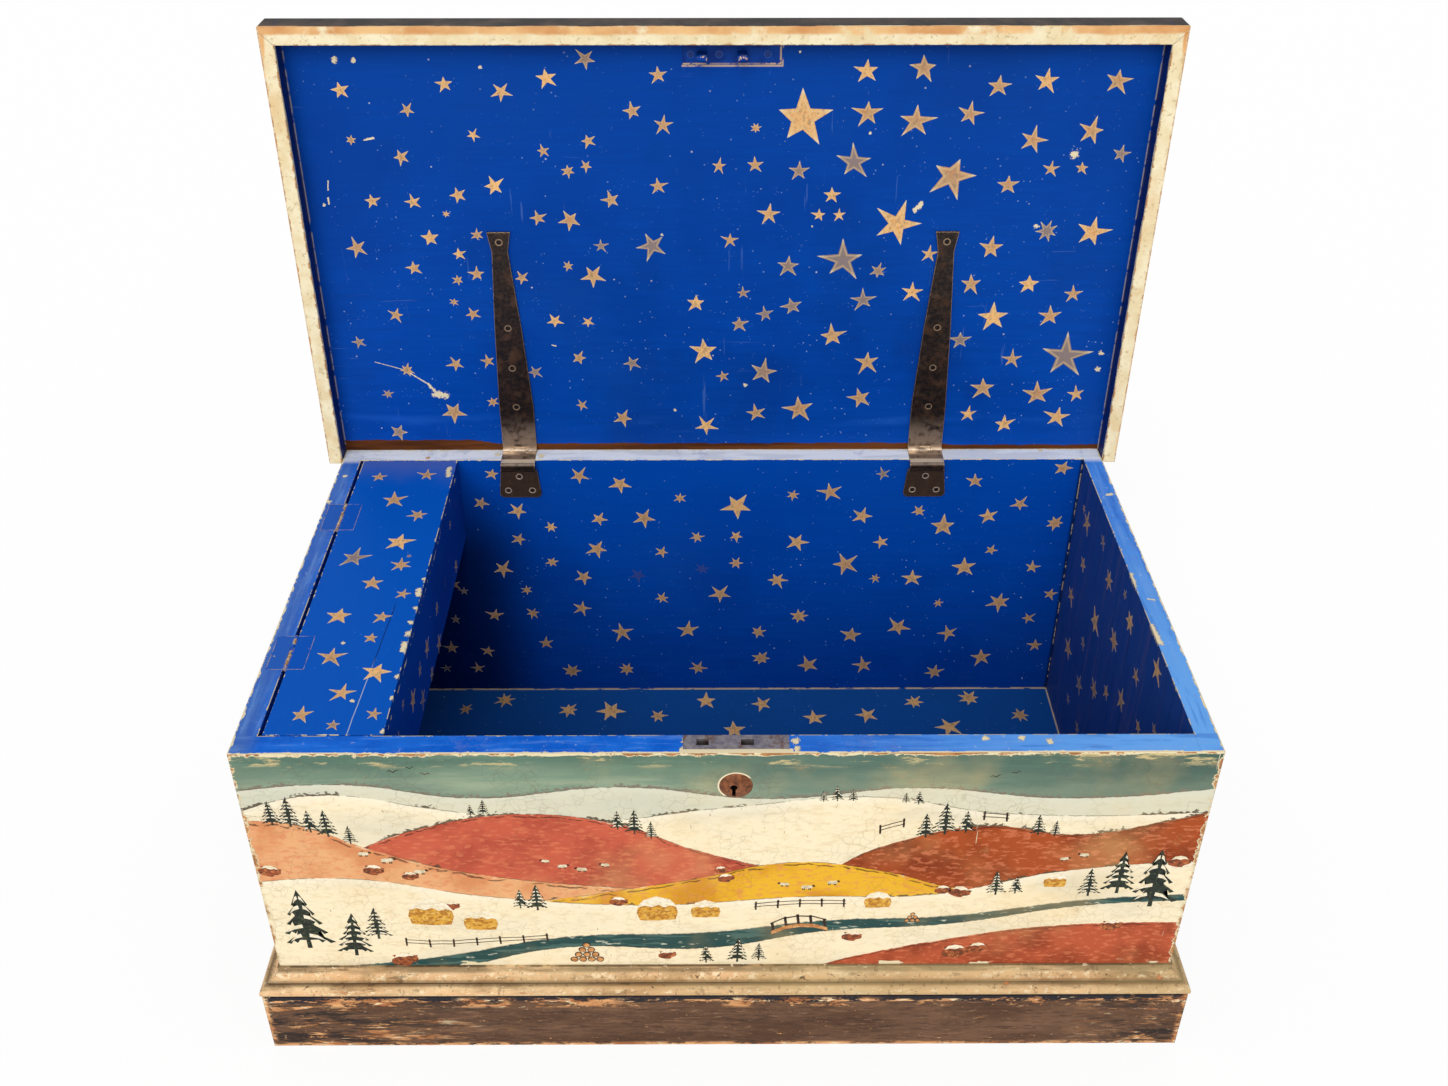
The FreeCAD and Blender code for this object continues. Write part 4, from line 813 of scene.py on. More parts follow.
bird = paint_shape("bird", [
    (-0.0050, 0.0014), (-0.0026, 0.0026), (0.0, 0.0006), (0.0028, 0.0028), (0.0052, 0.0018), (0.0028, 0.0020),
    (0.0, -0.0004), (-0.0026, 0.0018),
])

FIR_PLACES = [
    (-0.433, 0.316, 1.3), (-0.416, 0.314, 1.6), (-0.398, 0.306, 1.2), (-0.382, 0.3, 1.45),
    (-0.362, 0.29, 1.0), (-0.104, 0.309, 1.0), (-0.088, 0.303, 1.3), (-0.072, 0.296, 0.95),
    (-0.243, 0.328, 0.6), (-0.231, 0.331, 0.75), (0.092, 0.346, 0.6), (0.105, 0.347, 0.8),
    (0.12, 0.347, 0.65), (0.17, 0.344, 0.55), (0.182, 0.342, 0.7), (0.192, 0.297, 1.3), (0.21, 0.301, 1.7),
    (0.23, 0.303, 1.2), (0.3, 0.3, 1.1), (0.316, 0.298, 0.85), (-0.424, 0.136, 3.5), (-0.378, 0.124, 2.6),
    (-0.352, 0.15, 1.9), (0.424, 0.196, 3.3), (0.388, 0.216, 2.4), (0.36, 0.212, 1.6), (-0.205, 0.196, 1.1),
    (-0.188, 0.193, 1.5), (0.268, 0.214, 1.4), (0.287, 0.216, 1.0), (0.012, 0.112, 1.5), (0.034, 0.114, 1.1),
    (-0.02, 0.111, 1.1),
]
RICK_PLACES = [
    (-0.296, 0.172, 2.0), (-0.247, 0.164, 1.5), (-0.068, 0.178, 1.8), (-0.02, 0.182, 1.3),
    (0.325, 0.226, 1.0), (0.152, 0.196, 1.2),
]
FENCES = [
    [
        (-0.325, 0.139), (-0.301, 0.1365), (-0.277, 0.137), (-0.253, 0.1392), (-0.229, 0.1412),
        (-0.205, 0.1425), (-0.181, 0.145),
    ],
    [(0.03, 0.1925), (0.052, 0.195), (0.074, 0.1965), (0.096, 0.197), (0.118, 0.1965)],
    [(0.148, 0.302), (0.17, 0.311), (0.246, 0.3205), (0.268, 0.3185)],
]
SHEEP_PLACES = [
    (-0.16, 0.254, 1.0), (-0.141, 0.249, 1.1), (-0.118, 0.256, 0.9), (-0.176, 0.262, 0.85),
    (0.08, 0.222, 1.2), (0.058, 0.227, 1.0), (0.105, 0.229, 1.1), (-0.33, 0.262, 1.3), (-0.352, 0.272, 1.1),
    (-0.3, 0.246, 1.2), (0.33, 0.263, 0.9), (0.349, 0.268, 1.0),
]
LOG_PILES = [(-0.142, 0.117, 1.0, 4), (0.188, 0.176, 0.62, 3)]
BUSH_PLACES = [
    (-0.33, 0.118, 1.5), (0.215, 0.222, 0.9), (0.232, 0.219, 1.2), (-0.107, 0.206, 1.0), (-0.275, 0.2, 1.0),
    (-0.005, 0.252, 0.7), (-0.345, 0.253, 1.1), (-0.31, 0.244, 0.9), (0.235, 0.128, 1.5), (0.258, 0.134, 1.1),
    (0.0, 0.24, 0.9), (0.128, 0.152, 1.1), (0.443, 0.262, 1.2), (-0.447, 0.252, 1.2), (0.39, 0.168, 1.2),
    (-0.06, 0.124, 1.0),
]
BIRD_PLACES = [
    (-0.31, 0.386, 1.2), (-0.294, 0.391, 0.9), (-0.281, 0.383, 1.0), (0.252, 0.378, 1.1), (0.27, 0.383, 0.9),
]

fir_coats, snow_caps = [], []
for number, (x, z, size) in enumerate(FIR_PLACES):
    place = on_front_board(x, z, size, hand.uniform(-0.04, 0.04))
    fir_coats.append(copy_to(firs[number % 3], "fir", place))
    snow_caps.append(copy_to(snows[number % 3], "snow", place))
rick_coats = []
for x, z, size in RICK_PLACES:
    place = on_front_board(x, z, size, hand.uniform(-0.05, 0.05))
    rick_coats.append(copy_to(rick, "rick", place))
    snow_caps.append(copy_to(rick_snow, "snow", place))
dark_strokes = []
for run in FENCES:
    for x, z in run:
        dark_strokes.append(copy_to(rail_post, "rail", on_front_board(x, z, 1.0, hand.uniform(-0.06, 0.06))))
    for (x0, z0), (x1, z1) in zip(run, run[1:]):
        if x1 - x0 < 0.03:
            slope = math.atan2(z1 - z0, x1 - x0)
            for level in (0.0045, 0.0092):
                place = on_front_board((x0 + x1) / 2, (z0 + z1) / 2 + level, 1.0,
                                       slope + hand.uniform(-0.03, 0.03))
                dark_strokes.append(copy_to(rail_bar, "rail", place))
fleeces = []
for x, z, size in SHEEP_PLACES:
    place = on_front_board(x, z, size)
    if hand.random() < 0.5:
        place = place @ Matrix.Rotation(math.pi, 4, "Y") @ Matrix.Translation((0, 0, -PAINT_LAYER))
    fleeces.append(copy_to(fleece, "fleece", place))
    dark_strokes.append(copy_to(sheep_face, "face", place))
    for step_x in (-0.0032, -0.0018, 0.0018, 0.0032):
        dark_strokes.append(copy_to(sheep_leg, "leg", place @ Matrix.Translation((step_x, 0, 0))))
log_ends = []
for x, z, size, wide in LOG_PILES:
    for row in range(wide):
        for place_in_row in range(wide - row):
            along_row = (place_in_row - (wide - row - 1) / 2) * 0.0088
            place = on_front_board(x + along_row * size, z + row * 0.0074 * size, size, hand.uniform(0, 6))
            dark_strokes.append(copy_to(log_bark, "bark", place))
            log_ends.append(copy_to(log_end, "end", place))
bridge = on_front_board(0.075, 0.158, 1.5, 0.1)
log_ends.append(copy_to(bridge_deck, "deck", bridge))
dark_strokes.append(copy_to(bridge_rail, "bridge_rail", bridge))
for post_x, post_z in ((-0.0175, 0.0), (-0.0085, 0.0046), (0.0, 0.0062), (0.0085, 0.0046), (0.0175, 0.0)):
    dark_strokes.append(copy_to(rail_post, "post", bridge @ Matrix.Translation((post_x, post_z, 0))))
bush_coats = []
for x, z, size in BUSH_PLACES:
    place = on_front_board(x, z, size, hand.uniform(-0.2, 0.2))
    bush_coats.append(copy_to(bush, "bush", place))
    snow_caps.append(copy_to(bush_snow, "snow", place))
for x, z, size in BIRD_PLACES:
    dark_strokes.append(copy_to(bird, "bird", on_front_board(x, z, size, hand.uniform(-0.2, 0.2))))
discard(*firs, *snows, rick, rick_snow, rail_post, rail_bar, fleece, sheep_face, sheep_leg, log_bark, log_end,
        bush, bush_snow, bird, bridge_deck, bridge_rail)
for name, pieces, *finish_values in (
    ("painted_firs", fir_coats, "fir_paint", (46, 54, 42), (30, 38, 34), (90, 96, 66)),
    ("painted_ricks", rick_coats, "rick_paint", (226, 168, 62), (180, 118, 40), (244, 206, 116)),
    ("painted_snow_caps", snow_caps, "snow_paint", (254, 242, 214), (236, 220, 184), (255, 250, 238)),
    ("painted_rails_and_birds", dark_strokes, "ink_brown_paint", (62, 44, 34), (42, 32, 30), (118, 86, 60)),
    ("painted_fleeces", fleeces, "fleece_paint", (236, 222, 188), (204, 186, 148), (248, 240, 220)),
    ("painted_log_ends", log_ends, "log_end_paint", (222, 158, 96), (186, 120, 68), (240, 196, 140)),
    ("painted_bushes", bush_coats, "bush_paint", (166, 86, 48), (104, 58, 38), (214, 134, 76)),
):
    motif = as_one(pieces, name)
    motif_finish(*finish_values).put_on(motif)
    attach(motif, "chest")

# Plinth. Three pine boards mitred at the front corners and nailed round the foot, painted dark
# brown with a blackened upper band; knocks have taken the paint off the top arris and the corners.
PLINTH_HALF_WIDTH, PLINTH_FRONT, ALONG = 0.478, -0.272, (0.3, 0.3, 1)
plinth_paint = Finish("plinth_paint")
f = plinth_paint
from_end = f.most(f.less(PLINTH_HALF_WIDTH, f.size(f.x)), f.off(f.y, PLINTH_FRONT))
arris = f.least(f.size(f.z), from_end)
battered = f.most(f.step(f.x, -0.18, -0.4), f.step(f.x, 0.34, 0.45))
battered = f.times(battered, f.most(f.step(f.size(f.x), 0.4595, 0.459), f.step(f.y, -0.1, -0.25)))
worn = f.cloud(20, ALONG, detail=6, rough=0.74, shift=3)
streaks = f.cloud(150, (0.14, 0.14, 1), detail=8, rough=0.74, shift=6, twist=0.8)
soot = f.step(f.add(f.z, f.times(f.cloud(24, (0.4, 0.4, 1), detail=6, rough=0.7, shift=9), 0.016)), 0.0792,
              0.0812)
bare = f.most(
    f.patches(0.635, 0.68, 105, (0.35, 0.35, 1), detail=6, rough=0.78, shift=5),
    f.times(f.near(f.z, 0.071, 0.01, 0.004),
            f.patches(0.5, 0.545, 85, (0.4, 0.4, 1), detail=6, rough=0.78, shift=15),
            f.patches(0.44, 0.52, 16, (0.5, 0.5, 0), detail=3, shift=75)),
    chips_near(f, arris, 0.008, 0.5, 75, 8),
    f.times(f.step(arris, 0.007, 0.0015),
            f.patches(0.45, 0.51, 120, (0.3, 0.3, 1), detail=6, rough=0.75, shift=85)),
    f.times(f.near(f.z, 0.0738, 0.0028, 0.001),
            f.patches(0.51, 0.55, 180, ALONG, detail=5, rough=0.7, shift=95)),
    f.patches(0.66, 0.69, 250, (0.4, 0.4, 1), detail=4, rough=0.7, shift=99),
    f.times(battered, f.step(f.add(streaks, f.times(worn, 0.5)), 0.8, 0.86)),
)
tan = f.layers(
    f.tint(f.patches(0.35, 0.65, 90, ALONG, detail=4), (240, 180, 122), (178, 112, 66)),
    (f.patches(0.56, 0.62, 140, ALONG, detail=5, rough=0.7, shift=19), (250, 222, 178)),
)
colour = f.layers(
    f.tint(f.step(worn, 0.36, 0.66), (86, 58, 40), (120, 88, 66)),
    (f.step(streaks, 0.52, 0.66), 0.75, (60, 42, 33)),
    (f.step(streaks, 0.42, 0.34), 0.45, (160, 120, 88)),
    (f.patches(0.56, 0.61, 300, (0.12, 0.12, 1), detail=4, rough=0.7, shift=89), 0.5, (50, 36, 30)),
    (f.patches(0.61, 0.65, 280, (0.2, 0.2, 1), detail=4, rough=0.7, shift=91), 0.45, (172, 134, 104)),
    (f.times(battered, f.patches(0.47, 0.54, 60, (0.2, 0.2, 1), detail=8, rough=0.72, shift=29)), 0.85,
     (34, 29, 30)),
    (soot, 0.94, (30, 33, 43)),
    (bare, tan),
)
f.coat(colour, f.add(0.46, f.times(worn, 0.25)))
f.relief(f.add(f.times(worn, 0.8), f.times(f.less(1.0, bare), 0.9), f.times(streaks, 0.8)), 0.0006, 0.0018)
f.put_on(nodes["plinth_front"], nodes["plinth_left"], nodes["plinth_right"])

# Base moulding. A bead under a cove with a quirk between, run in pine, mitred at the front and
# bradded over the plinth: a cream paint gone khaki, rubbed to tan on its crowns with painted highlight there
# too; painted shade darkens the quirk, the cove and the underside of the lower bead.
LOW_CROWN, QUIRK, HIGH_CROWN = 0.088, 0.0945, 0.098
moulding_paint = Finish("moulding_paint")
f = moulding_paint
streaks = f.cloud(170, (0.12, 0.12, 1), detail=5, rough=0.65, shift=7)
crowns = f.most(f.near(f.z, LOW_CROWN, 0.005, 0.001), f.near(f.z, HIGH_CROWN, 0.0035, 0.001))
flakes = f.patches(0.62, 0.68, 85, (0.35, 0.35, 1), detail=6, rough=0.75, shift=4)
colour = f.layers(
    f.tint(f.patches(0.36, 0.66, 26, ALONG, detail=6, rough=0.7, shift=2), (238, 204, 156), (200, 160, 112)),
    (f.step(streaks, 0.48, 0.64), 0.6, (146, 112, 74)),
    # the crowns: partly rubbed to tan, partly painted highlight
    (f.times(crowns, f.patches(0.4, 0.54, 44, (0.25, 0.25, 1), detail=6, rough=0.7, shift=17)), 0.8,
     (238, 190, 138)),
    (f.times(crowns, f.patches(0.54, 0.6, 190, (0.5, 0.5, 1), detail=6, rough=0.7, shift=47)), 0.8,
     (255, 232, 190)),
    # the cove: darker khaki, partly painted shade
    (f.times(f.step(f.z, 0.0985, 0.102),
             f.patches(0.36, 0.54, 60, (0.2, 0.2, 1), detail=6, rough=0.7, shift=27)), 0.8, (138, 116, 84)),
    (f.times(f.step(f.z, 0.1064, 0.1076), f.patches(0.38, 0.48, 60, (0.3, 0.3, 1), detail=4, shift=57)), 0.8,
     (76, 58, 42)),
    (f.patches(0.64, 0.7, 200, (0.6, 0.6, 1), detail=5, shift=37), 0.7, (252, 234, 198)),
    (f.patches(0.6, 0.66, 210, (0.14, 0.14, 1), detail=4, rough=0.7, shift=67), 0.6, (104, 78, 52)),
    # painted shade: the quirk near black
    (f.near(f.z, QUIRK, 0.0016, 0.0005), 0.95, (62, 44, 30)),
    # painted shade under the lower bead, broken up
    (f.times(f.step(f.z, 0.0835, 0.0805), f.patches(0.35, 0.5, 60, (0.5, 0.5, 1), detail=5)), (46, 36, 32)),
    (f.times(f.step(f.x, -0.3, -0.05), f.patches(0.36, 0.6, 15, (0.3, 0.3, 1), detail=5, shift=77)), 0.4,
     (186, 166, 118)),
    (f.patches(0.61, 0.65, 240, (1, 1, 0.3), detail=3, shift=87), 0.45, (112, 88, 60)),
    (flakes, (220, 148, 98)),
    (f.patches(0.66, 0.72, 240, (0.5, 0.5, 1), detail=4, shift=14), 0.8, (70, 50, 38)),
)
f.coat(colour, f.add(0.5, f.times(flakes, 0.2)))
f.relief(f.less(streaks, f.times(flakes, 0.9)), 0.0005)
f.put_on(nodes["base_moulding_front"], nodes["base_moulding_left"], nodes["base_moulding_right"])

# Till. A candle box of thin pine housed in the walls at the left end: an upright board, a floor
# and a lid of one board, painted blue like the inside, the lid with an old crack along its grain.
TILL_RIGHT, TILL_LID_LEFT, TILL_LID_HALF_DEPTH, TILL_WALL_TOP = -0.321, -0.434, 0.2298, 0.3997
till_paint = Finish("till_paint")
f = till_paint
blue, strokes = blue_paint(f, CROSSWISE)
crack_place = f.add(-0.3445, f.times(f.add(f.y, 0.037), 0.057), f.sway(0.003, 30, (0, 1, 0), detail=4))
cracked = f.times(f.near(f.x, crack_place, 0.0007, 0.0002), f.step(f.y, -0.03, -0.05),
                  f.step(f.z, 0.4, 0.401))
on_lid = f.step(f.z, 0.4092, 0.4094)
blue = f.layers(
    blue,
    (on_lid, 0.8, (0, 92, 198)),
    (f.times(on_lid, f.step(f.add(f.y, f.times(f.cloud(20, detail=4, shift=8), 0.06)), 0.2, 0.27)), 0.55,
     (96, 112, 178)),
    (cracked, f.tint(f.step(f.y, -0.12, -0.15), (10, 44, 110), (176, 190, 220))),
)
right_end, left_end = f.off(f.x, TILL_RIGHT), f.off(f.x, TILL_LID_LEFT)
lid_arris = f.most(f.least(right_end, left_end, f.less(TILL_LID_HALF_DEPTH, f.size(f.y))), f.off(f.z, RIM))
wall_arris = f.most(right_end, f.off(f.z, TILL_WALL_TOP))
TILL_CHIPS = [
    (424, 579, 3.5), (429, 579, 3), (419, 590, 4, 419, 595), (416, 608, 4), (411, 622, 4), (408, 634, 5),
    (405, 643, 4.5, 403, 650), (409, 655, 4), (414, 644, 3.5), (398, 676, 4.5), (393, 698, 4), (383, 731, 4),
    (437, 540, 3.5), (449, 468, 3.5, 448, 476), (343, 643, 3), (352, 701, 3),
]
chips = f.most(
    f.times(chips_near(f, lid_arris, 0.004, 0.37, 90, 2), 0.5),
    f.times(chips_near(f, wall_arris, 0.006, 0.4, 80, 6), 0.5),
    f.times(f.step(lid_arris, 0.001, 0.0003), 0.5, f.patches(0.52, 0.58, 45, detail=5, shift=3)),
    f.times(f.chips_at(TILL_CHIPS, (0, 0, RIM), Vector((0, 0, 1))), 0.5),
)
wood, _ = bare_wood(f, CROSSWISE)
f.coat(worn_through(f, blue, chips, wood), f.add(0.4, f.times(strokes, 0.2)), gloss=0.08)
f.relief(f.less(f.add(f.times(strokes, 0.7), 0.5), f.most(f.step(chips, 0.15, 0.35), cracked)), 0.0003, 0.001)
f.put_on(nodes["till_wall"], nodes["till_floor"], nodes["till_lid_board"])

# Till hinges. Two small iron butts let into the wall and the lid, painted over with the rest;
# the paint has broken along their edges and at the knuckles, and rust has come through.
KNUCKLE_X, LEAF_LEFT, LEAF_RIGHT, LEAF_NEAR, LEAF_FAR = -0.436, -0.455, -0.417, 0.09, 0.14
till_iron = Finish("till_hinge_iron")
f = till_iron
blue, strokes = blue_paint(f, CROSSWISE)
worn = f.cloud(170, detail=5, rough=0.7, shift=3)
border = f.least(
    f.off(f.x, LEAF_LEFT), f.off(f.x, LEAF_RIGHT), f.off(f.size(f.y), LEAF_NEAR),
    f.off(f.size(f.y), LEAF_FAR),
)
knuckle = f.times(f.near(f.x, KNUCKLE_X, 0.003, 0.0008), f.step(f.z, 0.4096, 0.4104))
bare = f.most(
    f.times(f.step(border, 0.001, 0.0003), f.patches(0.36, 0.46, 90, detail=5, shift=8), 0.6),
    f.times(knuckle, f.patches(0.42, 0.5, 150, detail=4, shift=5)),
    f.step(worn, 0.66, 0.7),
)
iron = f.tint(f.patches(0.4, 0.6, 330, detail=3), (186, 142, 84), (226, 206, 172))
on_wall_leaf = f.step(f.x, -0.4355, -0.4365)
colour = f.layers(blue, (0.8, (2, 88, 194)), (on_wall_leaf, 0.75, (44, 98, 188)), (bare, iron))
f.coat(colour, f.add(0.4, f.times(worn, 0.3)), f.times(bare, 0.3), 0.08)
f.relief(f.less(worn, bare), 0.00018, 0.0004)
f.put_on(nodes["till_hinge_wall_leaves"], nodes["till_hinge_lid_leaves"], nodes["till_hinge_pins"])

# Lid. Two pine boards edge to edge inside three lips. The under side is blue like the inside; the
# top and the lips' outsides are a dark brown-black, and a strip by the hinges is bare, browned pine.
HINGE_HEIGHT, LID_UNDER, LID_LEAN = 0.4105, 0.25415, 0.00873
LIP_INNER_X, LIP_OUTER_X, LIP_INNER_Z, PLATE_TOP = 0.461, 0.476, 0.9184, 0.9178
LID_FACE, LID_UP = Vector((0, LID_UNDER, HINGE_HEIGHT)), (0, LID_LEAN, 1)
LID_OUT = Vector((0, -1, LID_LEAN)).normalized()
LID_CHIPS = [
    (334, 60, 4.5), (353, 60, 3.5), (364, 140, 1.6, 373, 138), (1075, 154, 6), (915, 210, 3.5, 921, 204),
    (1036, 226, 3.5), (328, 181, 1, 328, 190), (328, 198, 1, 329, 204), (324, 205, 2),
    (375, 362, 0.5, 405, 370), (405, 370, 0.9, 428, 384), (428, 384, 2, 438, 394), (436, 394, 5, 445, 395),
    (1098, 369, 3.5), (1101, 353, 3.5), (552, 345, 0.8, 556, 346), (662, 235, 1.6), (480, 67, 2),
    (759, 48, 3), (800, 52, 1.6), (812, 226, 2), (745, 385, 2.5), (675, 410, 2), (870, 133, 2),
]
lid_paint = Finish("lid_board_paint")
f = lid_paint
blue, strokes = blue_paint(f, LENGTHWISE)
up_lid = f.less(f.z, HINGE_HEIGHT)
lean = f.times(up_lid, LID_LEAN)
above = f.step(f.less(f.y, f.add(LID_UNDER, lean)), 0.004, 0.0045)
strip_height = f.add(0.0118, f.times(f.step(f.x, -0.27, -0.31), 0.0055),
                     f.times(f.step(f.x, 0.24, 0.3), -0.003))
strip_edge = f.less(f.add(up_lid, f.times(f.cloud(60, (0.5, 0, 1), detail=6, rough=0.7, shift=3), 0.007)),
                    strip_height)
bare_strip = f.step(strip_edge, 0.0006, -0.0004)
strip_wood, _ = bare_wood(f, LENGTHWISE, (112, 62, 28), (60, 30, 14))
panel_line = f.times(f.near(f.size(f.x), 0.4605, 0.0012, 0.0004), f.patches(0.4, 0.5, 70, detail=4))
faded = f.times(f.near(up_lid, 0.041, 0.012, 0.002), f.patches(0.45, 0.7, 30, (0.2, 1, 1), detail=4), 0.4)
hair_up = f.times(f.patches(0.68, 0.72, 190, (1, 1, 0.06), detail=3, shift=51),
                  f.patches(0.5, 0.62, 7, shift=52))
hair_across = f.times(f.patches(0.68, 0.72, 190, (0.05, 1, 1), detail=3, shift=61),
                      f.patches(0.5, 0.62, 6, shift=62))
# the link plate's recess edges are cream: worn to the primer, partly a painted highlight on the edge
plate_edge = f.most(
    f.times(f.near(f.z, 0.8894, 0.0014, 0.0006), f.near(f.x, LOCK_X, 0.0535, 0.0525)),
    f.times(f.near(f.x, 0.0622, 0.0012, 0.0004), f.step(f.z, 0.888, 0.889), f.step(f.z, PLATE_TOP, 0.917)),
)
plate_edge = f.times(plate_edge, f.patches(0.34, 0.44, 55, detail=5, shift=71))
blue = f.layers(
    blue,
    (f.patches(0.5, 0.66, 5, detail=4, shift=81), 0.35, (6, 52, 128)),
    (f.step(up_lid, 0.12, 0.45), 0.4, (0, 60, 148)),
    (f.most(hair_up, hair_across), 0.4, (84, 120, 190)),
    (plate_edge, 0.8, (214, 184, 150)),
    (bare_strip, strip_wood),
    (panel_line, 0.7, (190, 176, 160)),
    (faded, (40, 110, 215)),
)
top = f.layers(
    f.tint(f.patches(0.35, 0.7, 50, LENGTHWISE, detail=5), (44, 36, 34), (82, 66, 54)),
    (f.patches(0.55, 0.75, 14, (0.5, 1, 1), detail=6, rough=0.7, shift=8), 0.5, (126, 100, 76)),
    (f.patches(0.69, 0.72, 120, (0.05, 1, 1), detail=3, shift=14), 0.6, (176, 134, 92)),
    (f.patches(0.7, 0.74, 60, detail=6, rough=0.75, shift=44), (196, 148, 102)),
)
wood, _ = bare_wood(f, LENGTHWISE)
top_arris = f.least(f.off(f.z, 0.4062), f.off(f.size(f.x), LIP_INNER_X))
flaked = f.chips_at(LID_CHIPS, LID_FACE, LID_OUT)
chips = f.most(f.times(above, chips_near(f, top_arris, 0.008, 0.5, 80, 3)),
               f.times(flaked, f.less(1.0, above), 0.5))
f.coat(worn_through(f, f.tint(above, blue, top), chips, wood),
       f.add(0.4, f.times(strokes, 0.2), f.times(above, 0.1)), gloss=0.07)
f.relief(f.add(f.times(strokes, 0.8), f.times(bare_strip, -0.8), f.times(chips, -0.8)), 0.00022)
f.put_on(nodes["lid_board_rear"], nodes["lid_board_front"])

# Lips. Pine strips mitred at the front corners and nailed to the lid's edges: cream on the edge
# that meets the chest, with bare orange pine along the rounded top, navy inside and dark outside.
lip_paint = Finish("lip_paint")
f = lip_paint
lean = f.times(f.less(f.z, HINGE_HEIGHT), LID_LEAN)
from_edge_face = f.less(f.less(f.y, lean), 0.2301)
past_side, past_front = f.less(f.size(f.x), LIP_INNER_X), f.less(f.z, LIP_INNER_Z)
into_lip = f.most(past_side, past_front)
mitre = f.times(f.near(past_side, past_front, 0.0007, 0.0002), f.step(into_lip, 0.0, 0.0006))
ragged = f.sway(0.007, 60, (0.4, 1, 0.4), detail=6, rough=0.7, shift=31)
at_corner = f.times(f.step(f.z, 0.885, 0.928), 0.005)
outer_line = f.most(
    f.step(f.add(f.z, ragged), 0.9282, 0.932), f.step(f.add(f.size(f.x), ragged, at_corner), 0.474, 0.4765),
)
paint_reach = f.add(0.0008, f.times(f.patches(0.3, 0.62, 40, (0.4, 1, 0.4), detail=6, rough=0.7, shift=35),
                                    0.0035))
orange = f.tint(f.patches(0.35, 0.65, 60, (0.3, 1, 0.3), detail=5), (248, 200, 138), (222, 158, 98))
cream = f.layers(
    f.tint(f.patches(0.35, 0.7, 40, detail=5, shift=3), (255, 242, 204), (242, 220, 172)),
    (f.patches(0.55, 0.66, 170, detail=5, rough=0.7, shift=8), 0.6, (196, 168, 118)),
    (f.patches(0.5, 0.66, 34, (0.4, 1, 0.4), detail=5, rough=0.7, shift=18), 0.4, (236, 190, 126)),
    (f.times(outer_line, f.patches(0.36, 0.46, 50, (0.4, 1, 0.4), detail=5, shift=12)), orange),
    (mitre, 0.7, (150, 104, 62)),
)
navy = f.tint(f.cloud(60, (1, 1, 0.1), detail=4, shift=4), (2, 26, 84), (4, 44, 118))
outside = f.layers(
    f.tint(f.patches(0.35, 0.7, 40, detail=5, shift=6), (44, 38, 38), (78, 66, 58)),
    (f.patches(0.55, 0.75, 18, detail=6, rough=0.7, shift=9), 0.4, (118, 96, 76)),
)
inside_lip = f.times(
    f.step(f.less(f.y, lean), 0.2541, 0.2539),
    f.most(f.near(f.z, LIP_INNER_Z, 0.0004, 0.0002), f.near(f.size(f.x), LIP_INNER_X, 0.0004, 0.0002)),
)
arris = f.most(f.size(from_edge_face), f.least(f.size(into_lip), f.off(f.size(f.x), LIP_OUTER_X)))
chips = f.most(chips_near(f, arris, 0.005, 0.46, 85, 2),
               f.times(f.patches(0.7, 0.76, 110, detail=6, rough=0.75, shift=13), 0.7))
wood, _ = bare_wood(f, UPRIGHT, (226, 172, 116), (186, 132, 84))
paint = f.layers(outside, (inside_lip, navy),
                 (f.step(f.less(from_edge_face, paint_reach), 0.0004, 0.0), cream))
f.coat(worn_through(f, paint, chips, wood), f.add(0.45, f.times(chips, 0.3)))
f.relief(f.less(f.cloud(120, detail=5, shift=3), f.times(chips, 0.8)), 0.0004, 0.0012)
f.put_on(nodes["lid_lip_front"], nodes["lid_lip_left"], nodes["lid_lip_right"])


# Strap hinges. Forged iron: a tapering strap on the lid with a knuckle, and a leaf cranked over
# the back board's rim, on a riveted pin. Blackened and varnished, worn bright at knuckle and head,
# with painted highlight on the knuckle, the edges and the fold, and painted light on the leaf below the rim.
def forged_iron(name):
    """Hammered iron under old varnish: its finish, colour and the wear along its edges, partly a painted
    highlight.
    """
    f = Finish(name)
    hammer = f.cloud(75, detail=3, rough=0.5, shift=2)
    scale_marks = f.cloud(260, detail=5, rough=0.65, shift=5)
    colour = f.layers(
        f.tint(f.step(scale_marks, 0.35, 0.7), (28, 22, 19), (62, 46, 35)),
        (f.step(hammer, 0.54, 0.7), 0.45, (98, 74, 56)),
        (f.patches(0.5, 0.66, 40, detail=5, rough=0.7, shift=9), 0.55, (98, 66, 44)),
    )
    soft = f.node("Bevel", samples=6)
    soft.inputs["Radius"].default_value = 0.0012
    sharp = f.node("VectorMath", operation="DOT_PRODUCT")
    f.feed(sharp.inputs[0], soft.outputs["Normal"])
    f.feed(sharp.inputs[1], f.node("NewGeometry").outputs["Normal"])
    worn_and_highlit_edge = f.times(f.step(sharp.outputs["Value"], 0.985, 0.9),
                        f.patches(0.28, 0.42, 120, detail=4, shift=6))
    relief = f.add(f.times(hammer, 1.4), f.times(scale_marks, 0.25))
    return f, colour, worn_and_highlit_edge, relief


